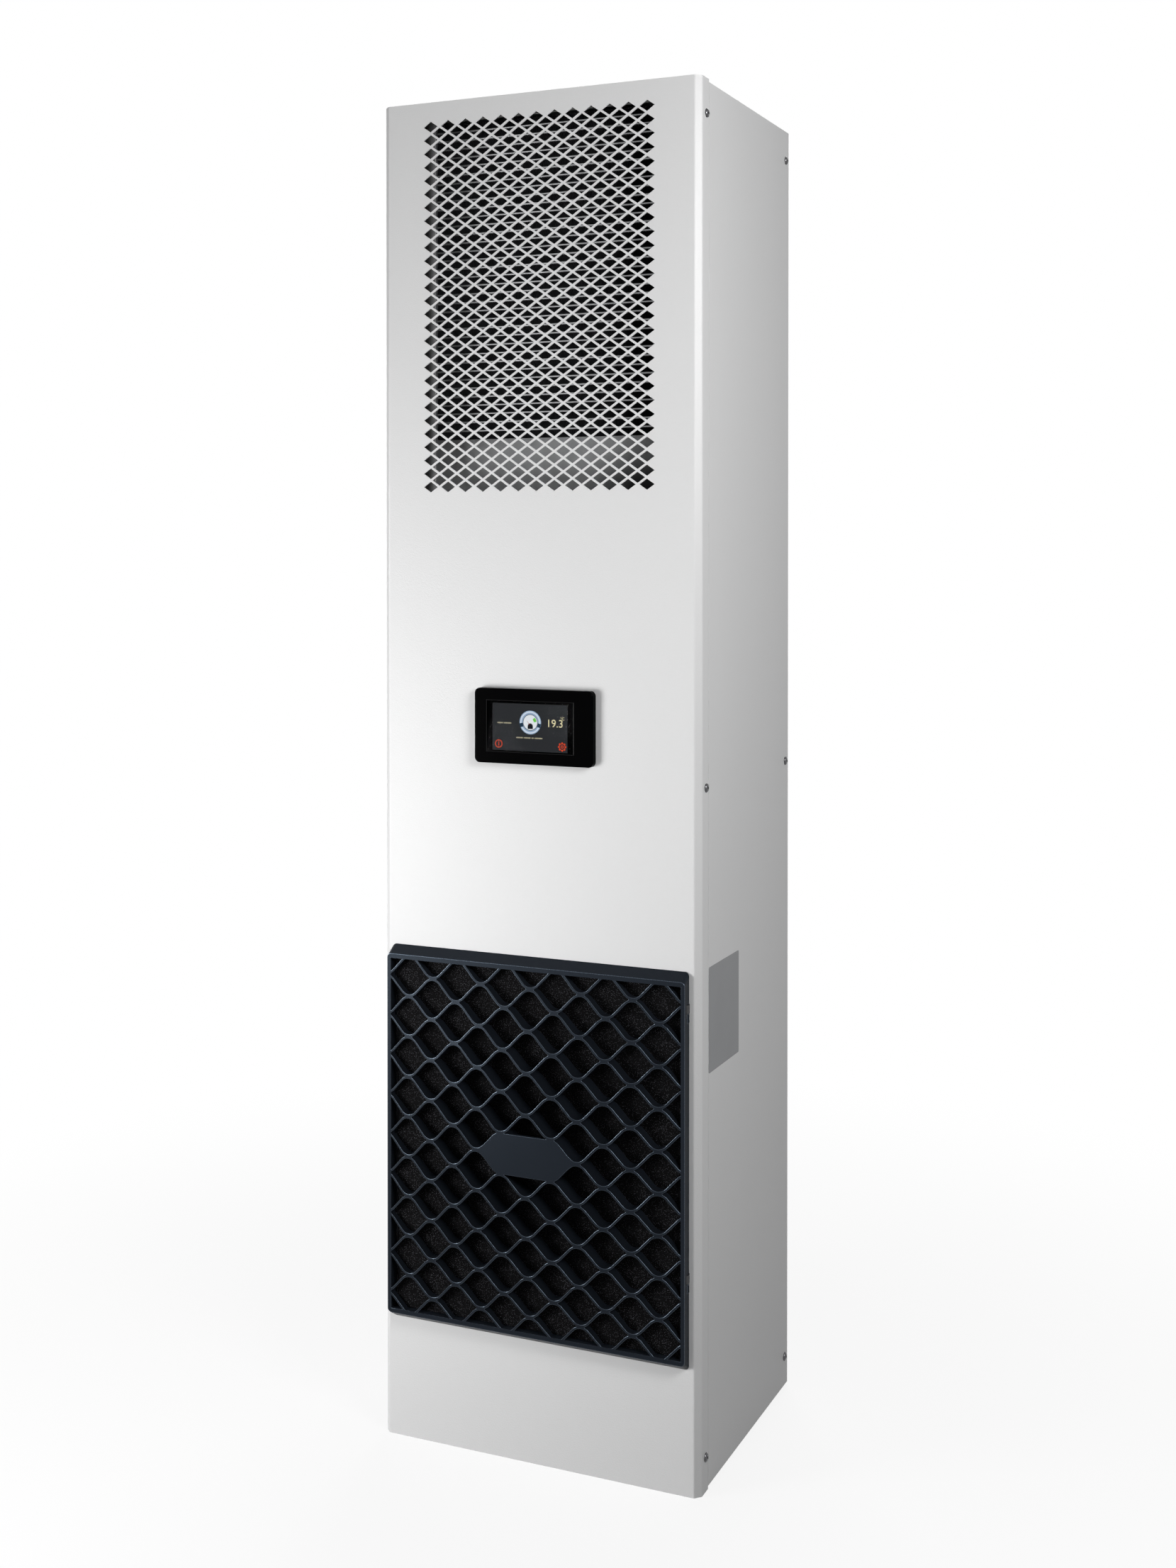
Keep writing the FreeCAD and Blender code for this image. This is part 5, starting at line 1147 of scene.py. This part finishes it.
def side_plate():
    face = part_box("right_side_panel")[1].x
    low = Vector((face, FRONT + PLATE_DEPTHS[0], PLATE_HEIGHTS[0]))
    high = Vector((face + PLATE_THICKNESS, FRONT + PLATE_DEPTHS[1], PLATE_HEIGHTS[1]))
    bm = box_mesh(low, high)
    through = PLATE_THICKNESS / 3
    corners = [edge for edge in bm.edges if abs(edge.verts[0].co.x - edge.verts[1].co.x) > through]
    round_edges(bm, corners, PLATE_CORNER, segments=4)
    return bm


plate_foil = make_finish("plate_foil", (0.35, 0.355, 0.365), 0.42, specular=0.06, drift_size=30.0,
                         grain=1800.0, bump=0.06, depth=0.03)
make_piece("side_plate", side_plate(), "cabinet", plate_foil)


# %% [markdown]
# ## Studio
# The object stands on a pale floor in a white room. The white is what the camera, glossy and transmission
# rays see, so it shows in reflections but gives no diffuse light. Two soft lamps stand close to the unit, one
# low on the left and one high on the right, so the light falls off along the front and down the side. Two
# narrow lamps show only in glossy surfaces. One draws the bright line along the folded edge of the cover, the
# other the light edges of the grille's ribs. The last lamp stands behind and lights only the top and the
# back. The floor is painted grey for the light that bounces off it and pale for the camera, so it shows the
# shadow but doesn't brighten the foot of the casing.

# %% World
ROOM_LIGHT = (0.055, 0.056, 0.058, 1.0)

scene = bpy.context.scene
scene.view_settings.view_transform = "Standard"


def seen_directly(tree):
    path = tree.nodes.new("ShaderNodeLightPath")
    near = math_node(tree, "MAXIMUM", path.outputs["Is Camera Ray"], path.outputs["Is Glossy Ray"])
    return math_node(tree, "MAXIMUM", near, path.outputs["Is Transmission Ray"])


def mix_shaders(tree, share, first, second):
    mix = tree.nodes.new("ShaderNodeMixShader")
    for socket, value in zip(mix.inputs, (share, first, second)):
        tree.links.new(value, socket)
    return mix.outputs["Shader"]


def white_room():
    world = bpy.data.worlds.new("white_room")
    world.use_nodes = True
    tree = world.node_tree
    light = tree.nodes["Background"]
    light.inputs["Color"].default_value = ROOM_LIGHT
    white = tree.nodes.new("ShaderNodeBackground")
    white.inputs["Color"].default_value = WHITE
    both = mix_shaders(tree, seen_directly(tree), light.outputs["Background"], white.outputs["Background"])
    tree.links.new(both, tree.nodes["World Output"].inputs["Surface"])
    return world


scene.world = white_room()
print("world:", scene.world.name)


# %% Floor paint
FLOOR_FOR_LIGHT = 0.18
FLOOR_FOR_CAMERA = 0.85
# Near the unit less white is mixed in, which paints a soft grey pool of shade round its foot.
SHADE_POOL_NEAR, SHADE_POOL_FAR = 0.3, 1.5
WHITE_NEAR, WHITE_FAR = 0.86, 1.0


# The white share grows with distance, so the floor carries a painted shadow pool near the unit as well as the
# real shadow.
def floor_paint():
    material = make_finish("floor_paint", (FLOOR_FOR_LIGHT,) * 3, 0.8, drift=0.02, drift_size=1.0, grain=40.0,
                           bump=0.0)
    tree = material.node_tree
    path = tree.nodes.new("ShaderNodeLightPath")
    level = math_node(tree, "MULTIPLY_ADD", path.outputs["Is Camera Ray"], FLOOR_FOR_CAMERA - FLOOR_FOR_LIGHT,
                      FLOOR_FOR_LIGHT)
    paint = tree.nodes.new("ShaderNodeCombineColor")
    for part in paint.inputs:
        tree.links.new(level, part)
    tree.links.new(paint.outputs["Color"], tree.nodes["tone"].inputs["Color"])
    white = tree.nodes.new("ShaderNodeEmission")
    white.inputs["Color"].default_value = WHITE
    place = tree.nodes.new("ShaderNodeTexCoord")
    reach = tree.nodes.new("ShaderNodeVectorMath")
    reach.operation = "LENGTH"
    tree.links.new(place.outputs["Object"], reach.inputs[0])
    fade = ramp_node(tree, reach.outputs["Value"], SHADE_POOL_NEAR, SHADE_POOL_FAR, WHITE_NEAR, WHITE_FAR, smooth=True)
    share = math_node(tree, "MULTIPLY", seen_directly(tree), fade)
    skin = tree.nodes["Principled BSDF"].outputs["BSDF"]
    both = mix_shaders(tree, share, skin, white.outputs["Emission"])
    tree.links.new(both, tree.nodes["Material Output"].inputs["Surface"])
    return material


print("the floor fades to white from", SHADE_POOL_NEAR, "to", SHADE_POOL_FAR, "m")


# %% Floor
FLOOR_REACH = 8.0


def pale_floor():
    bm = bmesh.new()
    bmesh.ops.create_grid(bm, x_segments=1, y_segments=1, size=FLOOR_REACH)
    mesh = mesh_from(bm, "pale_floor")
    mesh.materials.append(floor_paint())
    ground = add_object("pale_floor", mesh)
    return ground


print("stage:", pale_floor().name)


# %% Lamps
def soft_lamp(name, place, aim, size, power, only_in_gloss=False):
    data = bpy.data.lights.new(name, "AREA")
    data.shape = "RECTANGLE"
    data.size, data.size_y = size
    data.energy = power
    lamp = add_object(name, data)
    lamp.location = place
    lamp.visible_camera = False
    lamp.visible_diffuse = not only_in_gloss
    lamp.rotation_euler = (Vector(aim) - Vector(place)).to_track_quat("-Z", "Y").to_euler()
    print(name, "gives", power, "W")


soft_lamp("left_softbox", (-0.94, -1.13, 0.5), (0.0, -0.1, 0.7), (0.55, 0.6), 15.7)
soft_lamp("right_softbox", (1.3, -0.95, 1.45), (0.1, -0.1, 1.05), (0.6, 0.6), 16.8)
soft_lamp("edge_strip", (1.69, -0.71, 1.7), (0.19, -0.15, 1.4), (0.3, 0.6), 18.0, only_in_gloss=True)
soft_lamp("rib_strip", (-1.45, -0.88, 1.0), (-0.1, -0.17, 0.5), (0.35, 0.5), 26.0, only_in_gloss=True)
soft_lamp("back_softbox", (-0.2, 1.3, 2.5), (0.0, 0.1, 1.2), (0.9, 0.9), 24.0)


# %% [markdown]
# ## Camera
# The camera stands to the right of the unit at about two thirds of its height and looks nearly level. The
# shift keeps the upright edges upright, as in a product photograph.

# %% Camera
TILT_DOWN = 0.674
TURN_LEFT = 23.81

view = bpy.data.cameras.new("product_camera")
view.lens = 43.213
view.sensor_width = 36.0
view.shift_y = -0.14
camera = add_object("product_camera", view)
camera.location = (0.9089, -2.0578, 1.0437)
camera.rotation_euler = (math.radians(90 - TILT_DOWN), 0.0, math.radians(TURN_LEFT))
scene.camera = camera
print("camera at", tuple(round(value, 3) for value in camera.location))
